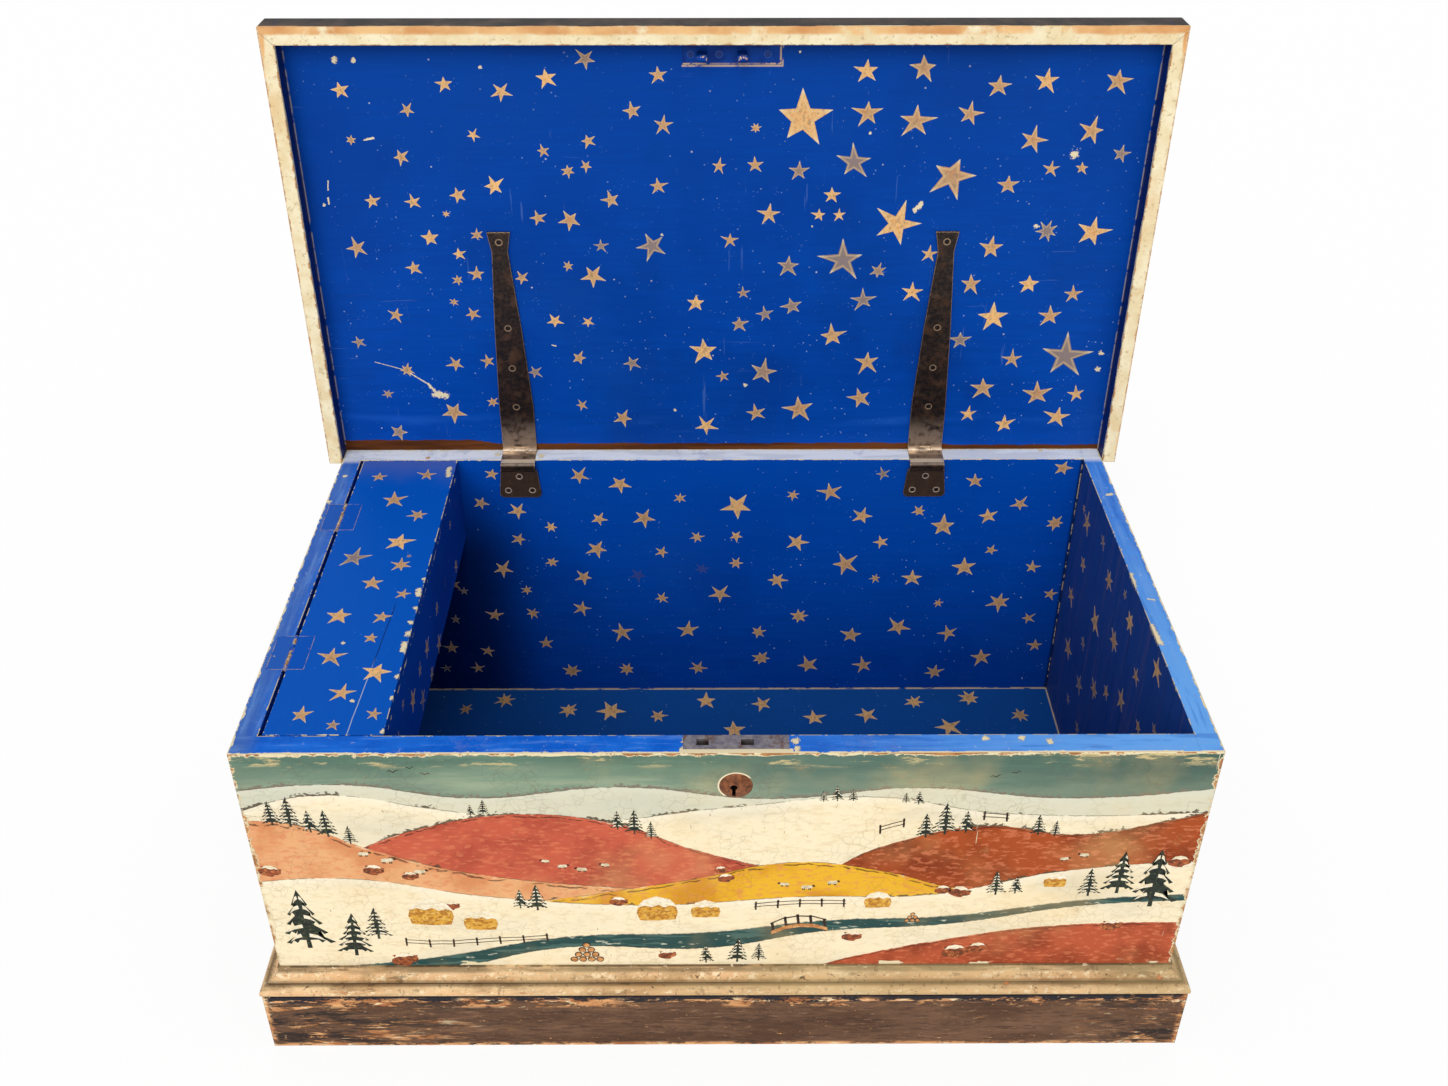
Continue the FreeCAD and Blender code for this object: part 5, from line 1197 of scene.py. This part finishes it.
f, colour, worn_and_highlit_edge, relief = forged_iron("forged_hinge_iron")
root = f.times(f.step(f.z, 0.462, 0.43), f.step(f.z, 0.405, 0.412))
knuckle = f.times(f.near(f.z, 0.4115, 0.0055, 0.0035), f.step(f.y, 0.24, 0.246))
fold = f.times(f.near(f.z, HINGE_HEIGHT, 0.0012, 0.0004), f.step(f.y, 0.234, 0.231))
colour = f.layers(
    colour,
    # painted light: the leaf down the back board is lightened against the shade it lies in
    (f.step(f.z, 0.401, 0.396), 0.45, (104, 80, 62)),
    (f.times(root, f.patches(0.3, 0.55, 90, detail=5, rough=0.65, shift=12)), 0.9, (154, 132, 114)),
    # the knuckle: partly worn bright metal, partly painted highlight
    (f.times(knuckle, f.patches(0.38, 0.54, 120, (0.3, 1, 1), detail=4, shift=15)), 0.85, (236, 208, 176)),
    # the edges: partly worn, partly painted highlight
    (worn_and_highlit_edge, 0.95, (214, 178, 140)),
    # painted highlight: a pale line along the bend of the crank
    (fold, 0.9, (240, 222, 196)),
    (f.patches(0.66, 0.74, 100, detail=6, rough=0.8, shift=15), 0.5, (150, 122, 98)),
)
f.coat(colour, f.less(0.4, f.times(worn_and_highlit_edge, 0.1)), f.add(0.4, f.times(worn_and_highlit_edge, 0.3)), 0.5)
f.relief(relief, 0.0006, 0.0007)
HINGE_PARTS = ("_strap", "_hinge_leaf", "_hinge_pin")
f.put_on(*[nodes[side + part] for side in ("left", "right") for part in HINGE_PARTS])

# Escutcheon. A thin domed disc of sheet copper over the keyhole, held by its turned-in edge:
# dark brown from handling, worn to orange copper on its crown.
escutcheon_copper = Finish("worn_escutcheon_copper")
f = escutcheon_copper
mottle = f.cloud(190, detail=5, rough=0.7, shift=2)
colour = f.layers(
    f.tint(f.step(mottle, 0.36, 0.62), (106, 60, 36), (154, 92, 54)),
    (f.times(f.step(f.y, -0.2566, -0.2584), f.step(mottle, 0.4, 0.64)), 0.6, (192, 128, 88)),
    (f.patches(0.56, 0.64, 320, detail=4, shift=7), 0.6, (74, 38, 26)),
)
f.coat(colour, f.add(0.36, f.times(mottle, 0.2)), 0.5, 0.5)
f.relief(mottle, 0.00025, 0.0004)
f.put_on(nodes["escutcheon"])

# Chest lock. A steel plate screwed inside the front with its selvedge let into the rim, a riveted
# case with the bolt, its spring and the drill pin: filed bright once, now a mauve grey with rust.
lock_steel = Finish("aged_lock_steel")
f = lock_steel
mottle = f.cloud(140, detail=5, rough=0.65, shift=4)
draw_file = f.cloud(900, (0.04, 1, 1), detail=2, shift=1)
colour = f.layers(
    f.tint(f.step(mottle, 0.35, 0.66), (132, 128, 136), (176, 168, 166)),
    (f.patches(0.52, 0.6, 70, detail=6, rough=0.75, shift=8), 0.75, (128, 88, 62)),
    (f.step(draw_file, 0.55, 0.7), 0.3, (206, 204, 210)),
    (f.times(f.step(f.y, -0.2334, -0.2338), f.step(f.z, 0.4076, 0.4068)), 0.85, (36, 27, 21)),
)
f.coat(colour, f.add(0.36, f.times(mottle, 0.2)), 0.6, 0.5)
f.relief(f.add(mottle, f.times(draw_file, 0.3)), 0.0002, 0.0005)
f.put_on(*[nodes["lock_" + part] for part in ("plate", "case", "bolt", "spring", "drill_pin")])

# Link plate and staples. An iron plate sunk in the lid's front edge with two staples that drop
# into the lock, painted blue with the lid; its lower edge and the staples' ends are worn bare, the lower and
# right edges partly as painted highlight, and a dark line of painted shade runs along its top edge.
painted_iron = Finish("painted_link_iron")
f = painted_iron
rub = f.cloud(150, detail=6, rough=0.7, shift=3)
edges = f.most(f.step(f.z, 0.8931, 0.8915), f.step(f.x, 0.0585, 0.0602))
bare = f.most(
    # the lower and right edges: worn bare, partly a painted highlight
    f.times(edges, f.step(rub, 0.42, 0.48), f.add(0.5, f.times(f.near(f.x, 0.012, 0.026, 0.04), 0.5))),
    f.times(f.step(f.y, 0.2452, 0.2428), f.step(rub, 0.52, 0.6)),
    f.step(rub, 0.68, 0.72),
)
colour = f.layers(
    f.tint(f.patches(0.35, 0.65, 60, detail=4), (2, 46, 128), (0, 64, 156)),
    # painted shade: a dark line along the plate's top edge, where it meets the lip
    (f.near(f.z, PLATE_TOP, 0.0012, 0.0004), 0.6, (0, 20, 70)),
    (bare, (214, 182, 146)),
)
f.coat(colour, f.add(0.36, f.times(bare, 0.1)), f.times(bare, 0.5), 0.12)
f.relief(f.less(f.times(rub, 0.5), f.times(bare, 0.5)), 0.0002, 0.0004)
f.put_on(nodes["lock_link_plate"], nodes["lock_staples"])

# Wood screws. Slotted countersunk screws, hand-filed, 15 mm long: they hold the hinges, the lock,
# the link plate and the handles. Their heads' rims have worn to a pale ring round a dark middle.
HEAD_RADIUS, SHANK_RADIUS, HEAD_DEPTH, SCREW_LENGTH = 0.0042, 0.002, 0.0022, 0.015
STRAP_X, STRAP_FACE, HANDLE_SCREW_Y = 0.2475, 0.25115, 0.08096
SCREW_PLACES = {
    ("strap_screws", "lid", "hinge_iron", (1, 0, 0), LID_UP): [
        (side * (STRAP_X + lean), STRAP_FACE + LID_LEAN * rise, HINGE_HEIGHT + rise)
        for side in (-1, 1) for lean, rise in ((0, 0.062), (0.001, 0.1155), (0.002, 0.169), (0.004, 0.278))],
    ("hinge_leaf_screws", "chest", "hinge_iron", (1, 0, 0), (0, 0, 1)): [
        (side * STRAP_X + aside, 0.228, z) for side in (-1, 1)
        for aside, z in ((0, 0.38775), (-0.01467, 0.36725), (0.01467, 0.36725))],
    ("link_plate_screws", "lid", "painted_iron", (1, 0, 0), LID_UP): [
        (x, 0.25873, 0.9016) for x in (-0.03468, -0.00452, 0.04644)],
    ("lock_screws", "chest", "lock_steel", (-1, 0, 0), (0, 0, 1)): [
        (x, -INNER_HALF_DEPTH, z) for x in (-0.03474, 0.05276) for z in (0.3935, 0.3572)],
    ("left_handle_screws", "chest", "handle_iron", (0, -1, 0), (0, 0, 1)): [
        (-0.463, y, z) for y in (-HANDLE_SCREW_Y, HANDLE_SCREW_Y) for z in (0.2905, 0.3055)],
    ("right_handle_screws", "chest", "handle_iron", (0, 1, 0), (0, 0, 1)): [
        (0.463, y, z) for y in (-HANDLE_SCREW_Y, HANDLE_SCREW_Y) for z in (0.2905, 0.3055)],
}


def pick_faces(piece, wanted):
    """Selects the faces that a rule picks out, in face mode, and goes on in edit mode."""
    mesh_edit()
    bpy.ops.mesh.select_mode(type="FACE")
    bpy.ops.mesh.select_all(action="DESELECT")
    mesh_done()
    for face in piece.data.polygons:
        face.select = wanted(face)
    mesh_edit()


def push(z):
    """Extrudes what is picked along Z."""
    bpy.ops.mesh.extrude_region_move(TRANSFORM_OT_translate={"value": (0, 0, z)})


bpy.ops.mesh.primitive_cone_add(
    vertices=24, radius1=SHANK_RADIUS, radius2=HEAD_RADIUS, depth=HEAD_DEPTH,
    location=(0, 0, -HEAD_DEPTH / 2))
screw = bpy.context.object
bpy.ops.object.transform_apply()
pick_faces(screw, lambda face: face.normal.z < -0.9)
push(HEAD_DEPTH - SCREW_LENGTH)
mesh_done()
pick_faces(screw, lambda face: face.normal.z > 0.9)
push(0.0003)
bpy.ops.mesh.inset(thickness=0.0011)
bpy.ops.mesh.inset(thickness=0.0003)
bpy.ops.transform.translate(value=(0, 0, -0.0005))
for side in (-1, 1):
    bpy.ops.mesh.bisect(plane_co=(side * 0.0005, 0, 0), plane_no=(1, 0, 0))
    mesh_done()
    pick_faces(screw, lambda face: (
        face.normal.z > 0.9 and face.center.to_2d().length < 0.0026 and face.area > 1e-6))
mesh_done()
pick_faces(screw, lambda face: (
    face.normal.z > 0.9 and abs(face.center.x) < 0.0004 and abs(face.center.y) < 0.0004))
push(-0.0006)
mesh_done()
ring = screw.data.attributes.new("ring", "FLOAT", "POINT")
for number, vertex in enumerate(screw.data.vertices):
    ring.data[number].value = 1.0 if vertex.co.z > 0.0002 else 0.0


def screw_finish(name, head, dark, ring, ring_amount, metal=0.5):
    f = Finish(name)
    mottle = f.cloud(500, detail=4, shift=3)
    raised = f.add(f.node("Attribute", attribute_name="ring").outputs["Fac"], f.times(mottle, 0.5))
    worn = f.times(f.step(raised, 0.65, 1.0), ring_amount)
    colour = f.layers(f.tint(f.step(mottle, 0.4, 0.6), head, dark), (worn, ring))
    f.coat(colour, f.less(0.45, f.times(worn, 0.1)), metal, 0.4)
    f.relief(mottle, 0.0002, 0.0003)
    return f


SCREW_FINISHES = {
    "strap_screws": screw_finish("strap_screw_iron", (52, 42, 36), (36, 28, 24), (176, 146, 116), 0.9),
    "hinge_leaf_screws": screw_finish("leaf_screw_iron", (74, 58, 46), (52, 40, 33), (226, 202, 178), 0.95),
    "link_plate_screws": screw_finish("painted_screw_iron", (0, 60, 150), (0, 44, 122), (20, 84, 176), 0.6,
                                      0.0),
    "lock_screws": screw_finish("steel_screw", (128, 122, 128), (96, 90, 94), (178, 170, 168), 0.7),
    "handle_screws": screw_finish("handle_screw_iron", (56, 46, 40), (42, 34, 30), (120, 100, 82), 0.6),
}
for (node, body, slot, right, up), places in SCREW_PLACES.items():
    heads = [copy_to(screw, "screw", on_face(place, right, up, hand.uniform(0, math.pi))) for place in places]
    made = as_one(heads, node.replace("screws", "slotted_screws"))
    finish = SCREW_FINISHES[node.replace("left_", "").replace("right_", "")]
    finish.put_on(made, nodes[node])
    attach(made, body)
    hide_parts(node)
discard(screw)

# Handles. A forged drop handle on each side, hung in the eyes of an iron plate that four screws
# hold: blackened iron, the grip worn to a brown sheen.
f, colour, worn_and_highlit_edge, relief = forged_iron("forged_handle_iron")
grip = f.times(f.step(f.z, 0.262, 0.25), f.step(f.size(f.y), 0.055, 0.035))
# the lighter edges are partly wear, partly painted highlight
colour = f.layers(colour, (grip, 0.6, (128, 106, 88)), (worn_and_highlit_edge, 0.6, (170, 138, 108)))
f.coat(colour, f.less(0.46, f.times(grip, 0.12)), f.add(0.4, f.times(grip, 0.3)), 0.5)
f.relief(relief, 0.0005, 0.0006)
f.put_on(*[nodes[side + part] for side in ("left", "right") for part in ("_handle", "_handle_plate")])


# Stars. Hand-cut shapes of gold paper on every blue face, varnished over, five-pointed and a few
# with six or seven points; some have dulled to a lavender brown. They are placed as photographed:
# x and y of the middle and the reach in pixels, the turn of a point in degrees, points and tone.
STAR_THICKNESS = 0.00014
STAR_VALUES = ("tone", "tip", "rim")
GHOST, DULL, TAN, GOLD, BRIGHT = -0.25, 0.1, 0.5, 0.75, 1.0
star_shapes = {}
for points, waist in ((5, 0.385), (6, 0.44), (7, 0.48)):
    corners = [(waist if k % 2 else 1.0, math.pi * k / points) for k in range(2 * points)]
    shape = paint_shape(f"star_{points}", [(r * math.cos(t), r * math.sin(t)) for r, t in corners],
                        STAR_THICKNESS)
    pick_faces(shape, lambda face: face.normal.z > 0.5)
    bpy.ops.mesh.inset(thickness=0.055, use_even_offset=True)
    bpy.ops.mesh.poke()
    mesh_done()
    star_shapes[points] = shape

gold = Finish("gold_star_paper")
f = gold
tone, tip, rim_line = [f.node("Attribute", attribute_name=name).outputs["Fac"] for name in STAR_VALUES]
mottle = f.cloud(190, detail=5, rough=0.7, shift=3)
colour = f.layers(
    (146, 128, 126), (f.step(tone, 0.0, 0.5), (204, 160, 114)), (f.step(tone, 0.5, 1.0), (252, 198, 128)),
    (f.times(f.step(mottle, 0.46, 0.66), f.step(tone, 0.0, 0.4)), 0.5, (206, 124, 72)),
    (f.patches(0.5, 0.62, 330, (1, 0.4, 0.5), detail=4, shift=6), 0.5, (140, 124, 104)),
    (f.step(f.add(tip, f.times(mottle, 0.5)), 0.82, 1.15), 0.72, (242, 226, 188)),
    (f.step(rim_line, 0.6, 1.0), 0.5, (236, 204, 150)),
    (f.step(tone, -0.1, -0.2), (52, 74, 150)),
)
f.coat(colour, f.add(0.42, f.times(mottle, 0.2)))
f.relief(mottle, 0.00015)


def star_mesh(points, tone):
    """A star with its own mesh, each tip cut a little longer, shorter or askew."""
    made = copy_to(star_shapes[points], "star", Matrix())
    stretch = [hand.uniform(0.82, 1.2) for _ in range(points)]
    askew = [hand.uniform(-0.12, 0.12) for _ in range(points)]
    narrow = hand.uniform(0.85, 1.1)
    tones, tips, rims = [made.data.attributes.new(name, "FLOAT", "POINT").data for name in STAR_VALUES]
    shade = tone + hand.uniform(-0.12, 0.12)
    for number, vertex in enumerate(made.data.vertices):
        reach, turn = vertex.co.to_2d().length, math.atan2(vertex.co.y, vertex.co.x)
        place = turn / (2 * math.pi) * points
        near = int(round(place)) % points
        at_tip = max(0.0, 1 - abs(place - round(place)) * 2.6) if reach > 0.3 else 0.0
        factor = narrow if at_tip < 0.2 and reach > 0.2 else 1 + (stretch[near] - 1) * at_tip
        turn += askew[near] * at_tip
        vertex.co.x, vertex.co.y = reach * factor * math.cos(turn), reach * factor * math.sin(turn)
        tones[number].value = shade
        tips[number].value = reach if at_tip > 0.5 else 0.0
        rims[number].value = 1.0 if number < 4 * points else 0.0
    return made


def photographed(origin, right, up, stars):
    """Stars read off the photograph, turned into places, reaches, turns, points and tones."""
    out = Vector(right).cross(Vector(up)).normalized()
    for x, y, reach, turn, *kind in stars:
        centre, metre = seen_at(x, y, origin, out)
        points = kind[0] if kind and isinstance(kind[0], int) else 5
        yield centre, reach * metre, turn, points, kind[-1] if kind and isinstance(kind[-1], float) else TAN


def strewn(origin, right, up, wide, high, count, below=9.0):
    """Stars strewn where the camera can't look in over the front rim, none too near another."""
    found = []
    for _ in range(count * 12):
        centre = Vector(origin) + Vector(right) * hand.uniform(*wide) + Vector(up) * hand.uniform(*high)
        clear = all((centre - other[0]).length > 0.036 for other in found)
        if clear and len(found) < count and centre.z + centre.y < below:
            points = hand.choice((5, 5, 5, 5, 6, 6, 7))
            found.append((centre, hand.uniform(0.007, 0.013), hand.uniform(80, 110), points,
                          hand.choice((DULL, TAN, TAN, GOLD))))
    return found


def stars_on(name, body, right, up, stars):
    """Stars on one plane face, joined into one piece."""
    out = Vector(right).cross(Vector(up)).normalized() * 0.00002
    pieces = []
    for centre, reach, turn, points, tone in stars:
        star = star_mesh(points, tone)
        star.data.transform(on_face(centre + out, right, up, math.radians(turn), reach))
        pieces.append(star)
    made = as_one(pieces, name)
    gold.put_on(made)
    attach(made, body)


LID_STARS = [
    (340, 90, 9.5, 100, GOLD), (444, 84, 8.5, 96, GOLD), (501, 92, 11, -90, GOLD), (546, 78, 11, 100, BRIGHT),
    (407, 110, 8.5, -90), (351, 140, 5.5, 20, 6), (473, 135, 7, -90, GOLD), (401, 157, 9, 115),
    (543, 151, 7, 105), (494, 186, 11.5, 105, BRIGHT), (458, 195, 9, 110, GOLD), (372, 201, 8.5, 95, GOLD),
    (413, 202, 8, 100, GOLD), (446, 214, 4, 20, 6, GOLD), (538, 218, 8.5, 105), (430, 238, 10, 95, GOLD),
    (477, 235, 6.5, 95, 6), (357, 248, 11.5, 110), (585, 59, 12.5, -90, DULL), (658, 75, 9.5, 90, GOLD),
    (632, 111, 10, 105), (663, 125, 10, 85), (756, 128, 5.5, 10, 7, GOLD), (803, 118, 30.5, 90, GOLD),
    (588, 141, 8, 110), (568, 171, 7, 100, 6), (586, 166, 7, -90), (658, 186, 9.5, 92), (611, 200, 9.5, 108),
    (570, 220, 11, -95), (719, 166, 8.5, 85), (755, 165, 9, 90), (799, 171, 10, 85, DULL),
    (769, 214, 12, 88, GOLD), (819, 215, 7.5, 88, GOLD), (832, 195, 10.5, 90, GOLD),
    (652, 246, 16, 110, DULL), (730, 240, 9, 88), (867, 71, 13, 92, GOLD), (924, 68, 15, 90),
    (999, 86, 11.5, 88), (1047, 81, 13.5, 88, GOLD), (1118, 81, 14, 85), (868, 113, 15, 92),
    (916, 121, 19, 87), (970, 114, 13, 83), (1033, 140, 14, 78), (1092, 131, 14, 80),
    (1121, 154, 9, 80, DULL), (1051, 169, 8.5, 88), (1082, 168, 7, 88), (854, 162, 18.5, 90, DULL),
    (952, 176, 23, 72), (1008, 185, 11.5, 93), (839, 215, 7, 90, GOLD), (897, 224, 24, 68, BRIGHT),
    (1047, 231, 11, 80, 7, DULL), (1092, 232, 18, 75, GOLD), (843, 260, 23, 92, DULL), (991, 248, 12, 90),
    (459, 254, 7, 100, GOLD), (414, 268, 8.5, 100, GOLD), (477, 274, 8.5, 92), (458, 280, 6, 95, 6),
    (454, 302, 5, 20, 6), (396, 315, 8.5, -70), (473, 314, 7.5, 115), (359, 342, 7, 110, DULL),
    (456, 364, 9.5, 120), (488, 361, 8, 105), (407, 370, 7.5, 30, 7), (388, 394, 6, 15, 6, DULL),
    (454, 412, 12.5, -88), (493, 402, 6.5, 100, 6), (399, 432, 10, 70, DULL), (522, 278, 8, 120),
    (535, 372, 8, 40, DULL), (555, 321, 8.5, -88, BRIGHT), (568, 266, 6, 15, 6), (579, 358, 8, 70),
    (582, 405, 6.5, 40), (593, 276, 14, 126, GOLD), (601, 246, 8, 92, DULL), (588, 322, 7, -88, GOLD),
    (632, 363, 9, 110, DULL), (623, 418, 9.5, 138), (696, 303, 10.5, 88, BRIGHT), (704, 351, 14, 90, BRIGHT),
    (723, 376, 7, 105), (763, 372, 16.5, 78, DULL), (743, 293, 7, 95, DULL), (765, 314, 8.5, 100, DULL),
    (739, 324, 9, 92, DULL), (792, 306, 11.5, 105, DULL), (788, 266, 12, 86, DULL),
    (832, 336, 13.5, 100, GOLD), (756, 413, 11, 105), (799, 409, 15, 98), (706, 426, 11.5, -90, BRIGHT),
    (878, 271, 9, 20, 6, DULL), (863, 300, 12, 95, DULL), (912, 292, 12, 88, BRIGHT),
    (929, 254, 9.5, 88, GOLD), (971, 284, 11.5, 90), (1029, 284, 11, 90, BRIGHT), (1073, 294, 10, 90),
    (993, 317, 16, 95, BRIGHT), (1050, 316, 12, 88), (960, 340, 10.5, 90, DULL), (1012, 359, 10.5, 90),
    (1065, 356, 25, 87, DULL), (867, 362, 14, 92), (983, 388, 13, 93), (1037, 394, 15, 96),
    (1076, 394, 9, 100, GOLD), (860, 398, 12, 105), (968, 414, 9, 90, BRIGHT), (1004, 424, 10.5, 95, BRIGHT),
    (1057, 417, 14, 80, GOLD),
]
BACK_STARS = [
    (492, 474, 7, 75), (481, 503, 8.5, 65), (518, 511, 9.5, 55, GOLD), (579, 476, 11, 55),
    (620, 484, 10.5, -85, GOLD), (644, 518, 11.5, -80), (599, 519, 8, 60, GOLD), (551, 527, 6.5, 0, 6, GOLD),
    (519, 539, 8, 70), (597, 549, 12.5, 66), (503, 569, 11, 128), (552, 562, 6.5, 10, 6), (584, 577, 9, 60),
    (527, 590, 6, 95, 6), (638, 575, 9, 60, GHOST), (464, 591, 6, 90, DULL), (495, 615, 9, 80),
    (533, 613, 7, 10, 6), (582, 608, 9.5, 75), (622, 632, 12, 97), (546, 643, 8, 90), (488, 651, 7.5, 80),
    (478, 668, 7.5, 95), (572, 671, 9, 5, 7), (627, 669, 8, 12, 7), (680, 498, 7, 25, 6),
    (737, 506, 15, 56, GOLD), (793, 495, 7, 20, 6), (830, 492, 12, 100), (862, 516, 11.5, 75, GOLD),
    (697, 537, 7.5, 10, 6), (736, 536, 8, -85, GOLD), (662, 552, 7, 65), (797, 542, 11, 70, GOLD),
    (702, 569, 8, 10, 6, GHOST), (736, 563, 7, 0, 6), (777, 580, 10.5, 0, 6, GOLD), (845, 564, 14, 110),
    (720, 594, 11, -88), (662, 598, 7, 10, 6), (799, 616, 9.5, 0, 7), (688, 630, 11, 88),
    (758, 632, 7.5, 15, 6), (851, 635, 11, 80), (698, 668, 8.5, 5, 6), (761, 658, 9.5, 0, 7),
    (808, 665, 11.5, 115), (863, 665, 11, 100), (883, 474, 8, 110, DULL), (975, 481, 9, 92),
    (1063, 468, 10, 75), (1020, 504, 9.5, -90), (919, 511, 7, 10, 6), (943, 526, 13.5, 90),
    (988, 516, 10.5, 102, GOLD), (1055, 523, 9, 5, 7), (881, 542, 8, 110, GOLD), (991, 550, 6.5, 65),
    (964, 567, 12, 96, GOLD), (1032, 567, 8, 85), (875, 578, 6, 10, 6), (912, 578, 11.5, 90, GOLD),
    (1050, 594, 7.5, 80), (938, 603, 5.5, 10, 6), (999, 602, 12.5, 85, 6), (898, 627, 12.5, 62),
    (948, 633, 10, 110), (1028, 618, 7.5, 110), (1035, 645, 8, 90), (981, 657, 11.5, 100),
    (934, 672, 9, 15, 6),
]
FLOOR_STARS = [
    (466, 709, 8, 0, 6, TAN), (505, 700, 10, 5, 7, GOLD), (569, 710, 9.5, 0, 7, BRIGHT),
    (611, 711, 13, 0, 6, BRIGHT), (658, 716, 9, 5, 6, GOLD), (706, 701, 11.5, 90, BRIGHT),
    (734, 730, 13, 95, BRIGHT), (762, 704, 11, 110, BRIGHT), (814, 718, 12, 95, BRIGHT),
    (867, 715, 10.5, 110, BRIGHT), (914, 702, 9.5, 0, 7, BRIGHT), (949, 727, 13.5, 110, BRIGHT),
    (969, 698, 11, 5, 7, GOLD), (1020, 715, 9.5, 0, 7),
]
RIGHT_WALL_STARS = [
    (1087, 523, 13.5, 90), (1084, 509, 5, 80), (1103, 542, 8, 90, DULL), (1083, 564, 10, 85),
    (1109, 580, 12, 30, 6), (1071, 595, 11, 90), (1125, 595, 6.5, 70, DULL), (1095, 622, 14.5, 60, GOLD),
    (1130, 622, 12.5, 20, 6, GOLD), (1140, 619, 9, 90, GHOST), (1114, 641, 12.5, 30, 6), (1068, 648, 13, 90),
    (1083, 643, 8, 90, DULL), (1157, 670, 15.5, 100, BRIGHT), (1136, 676, 11, 90),
    (1079, 684, 11.5, 90, DULL), (1094, 690, 10.5, 30, 6), (1106, 692, 10, 90), (1121, 700, 14.5, 95, GOLD),
    (1068, 699, 5.5, 90, DULL), (1077, 728, 8, 90, DULL), (1138, 727, 9, 90), (1154, 730, 8, 90, DULL),
]
TILL_WALL_STARS = [
    (450, 524, 5, 90, DULL), (456, 566, 8, 90), (445, 583, 8, 90, GHOST), (437, 608, 7.5, 30, 6, DULL),
    (427, 648, 11.5, 90), (439, 643, 11, 90, DULL), (420, 670, 8, 60, DULL), (432, 673, 8, 90, DULL),
    (413, 700, 13, 90), (423, 699, 11, 90, DULL), (403, 704, 6.5, 90, DULL),
]
TILL_LID_STARS = [
    (379, 477, 8, 90), (427, 475, 10, 90), (394, 500, 14, 95), (418, 515, 10, 75, 6),
    (399, 542, 15.5, 85, BRIGHT), (354, 558, 15.5, 80, DULL), (401, 565, 11, 40, 6), (372, 583, 12, 90),
    (403, 594, 8.5, 80), (339, 616, 14, 90, GOLD), (382, 617, 10, 85), (371, 638, 8, 90), (331, 657, 15, 90),
    (376, 672, 15, 80, BRIGHT), (342, 693, 13, 85, GOLD), (301, 715, 12, 90), (333, 725, 8, 90, DULL),
    (374, 714, 9, 85), (409, 556, 3, 0, DULL), (428, 458, 4, 0),
]
X, Y, Z, BACK_TO_X, BACK_TO_Y = (1, 0, 0), (0, 1, 0), (0, 0, 1), (-1, 0, 0), (0, -1, 0)
stars_on("stars_on_lid", "lid", X, LID_UP, photographed(LID_FACE, X, LID_UP, LID_STARS))
stars_on("stars_on_till_lid", "till_lid", X, Y, photographed((0, 0, RIM), X, Y, TILL_LID_STARS))
for name, slot, origin, right, up, seen, hidden in (
    ("back_board", "wall_paint", (0, INNER_HALF_DEPTH, 0), X, Z, BACK_STARS,
     ((-0.42, -0.34), (0.06, 0.28), 8)),
    ("bottom_boards", "floor_paint", (0, 0, FLOOR_TOP), X, Y, FLOOR_STARS,
     ((-0.42, 0.42), (-0.21, 0.12), 70)),
    ("right_side", "wall_paint", (INNER_HALF_WIDTH, 0, 0), BACK_TO_Y, Z, RIGHT_WALL_STARS,
     ((-0.12, 0.21), (0.06, 0.34), 34, 0.15)),
    ("till_wall", "till_paint", (TILL_RIGHT, 0, 0), Y, Z, TILL_WALL_STARS, ((-0.21, -0.16), (0.31, 0.36), 3)),
    ("left_side", "wall_paint", (-INNER_HALF_WIDTH, 0, 0), Y, Z, [], ((-0.21, 0.21), (0.06, 0.27), 34)),
    ("front_board", "wall_paint", (0, -INNER_HALF_DEPTH, 0), BACK_TO_X, Z, [],
     ((-0.42, 0.31), (0.06, 0.32), 70)),
):
    stars = list(photographed(origin, right, up, seen)) + strewn(origin, right, up, *hidden)
    stars_on("stars_on_" + name, "chest", right, up, stars)
discard(*star_shapes.values())
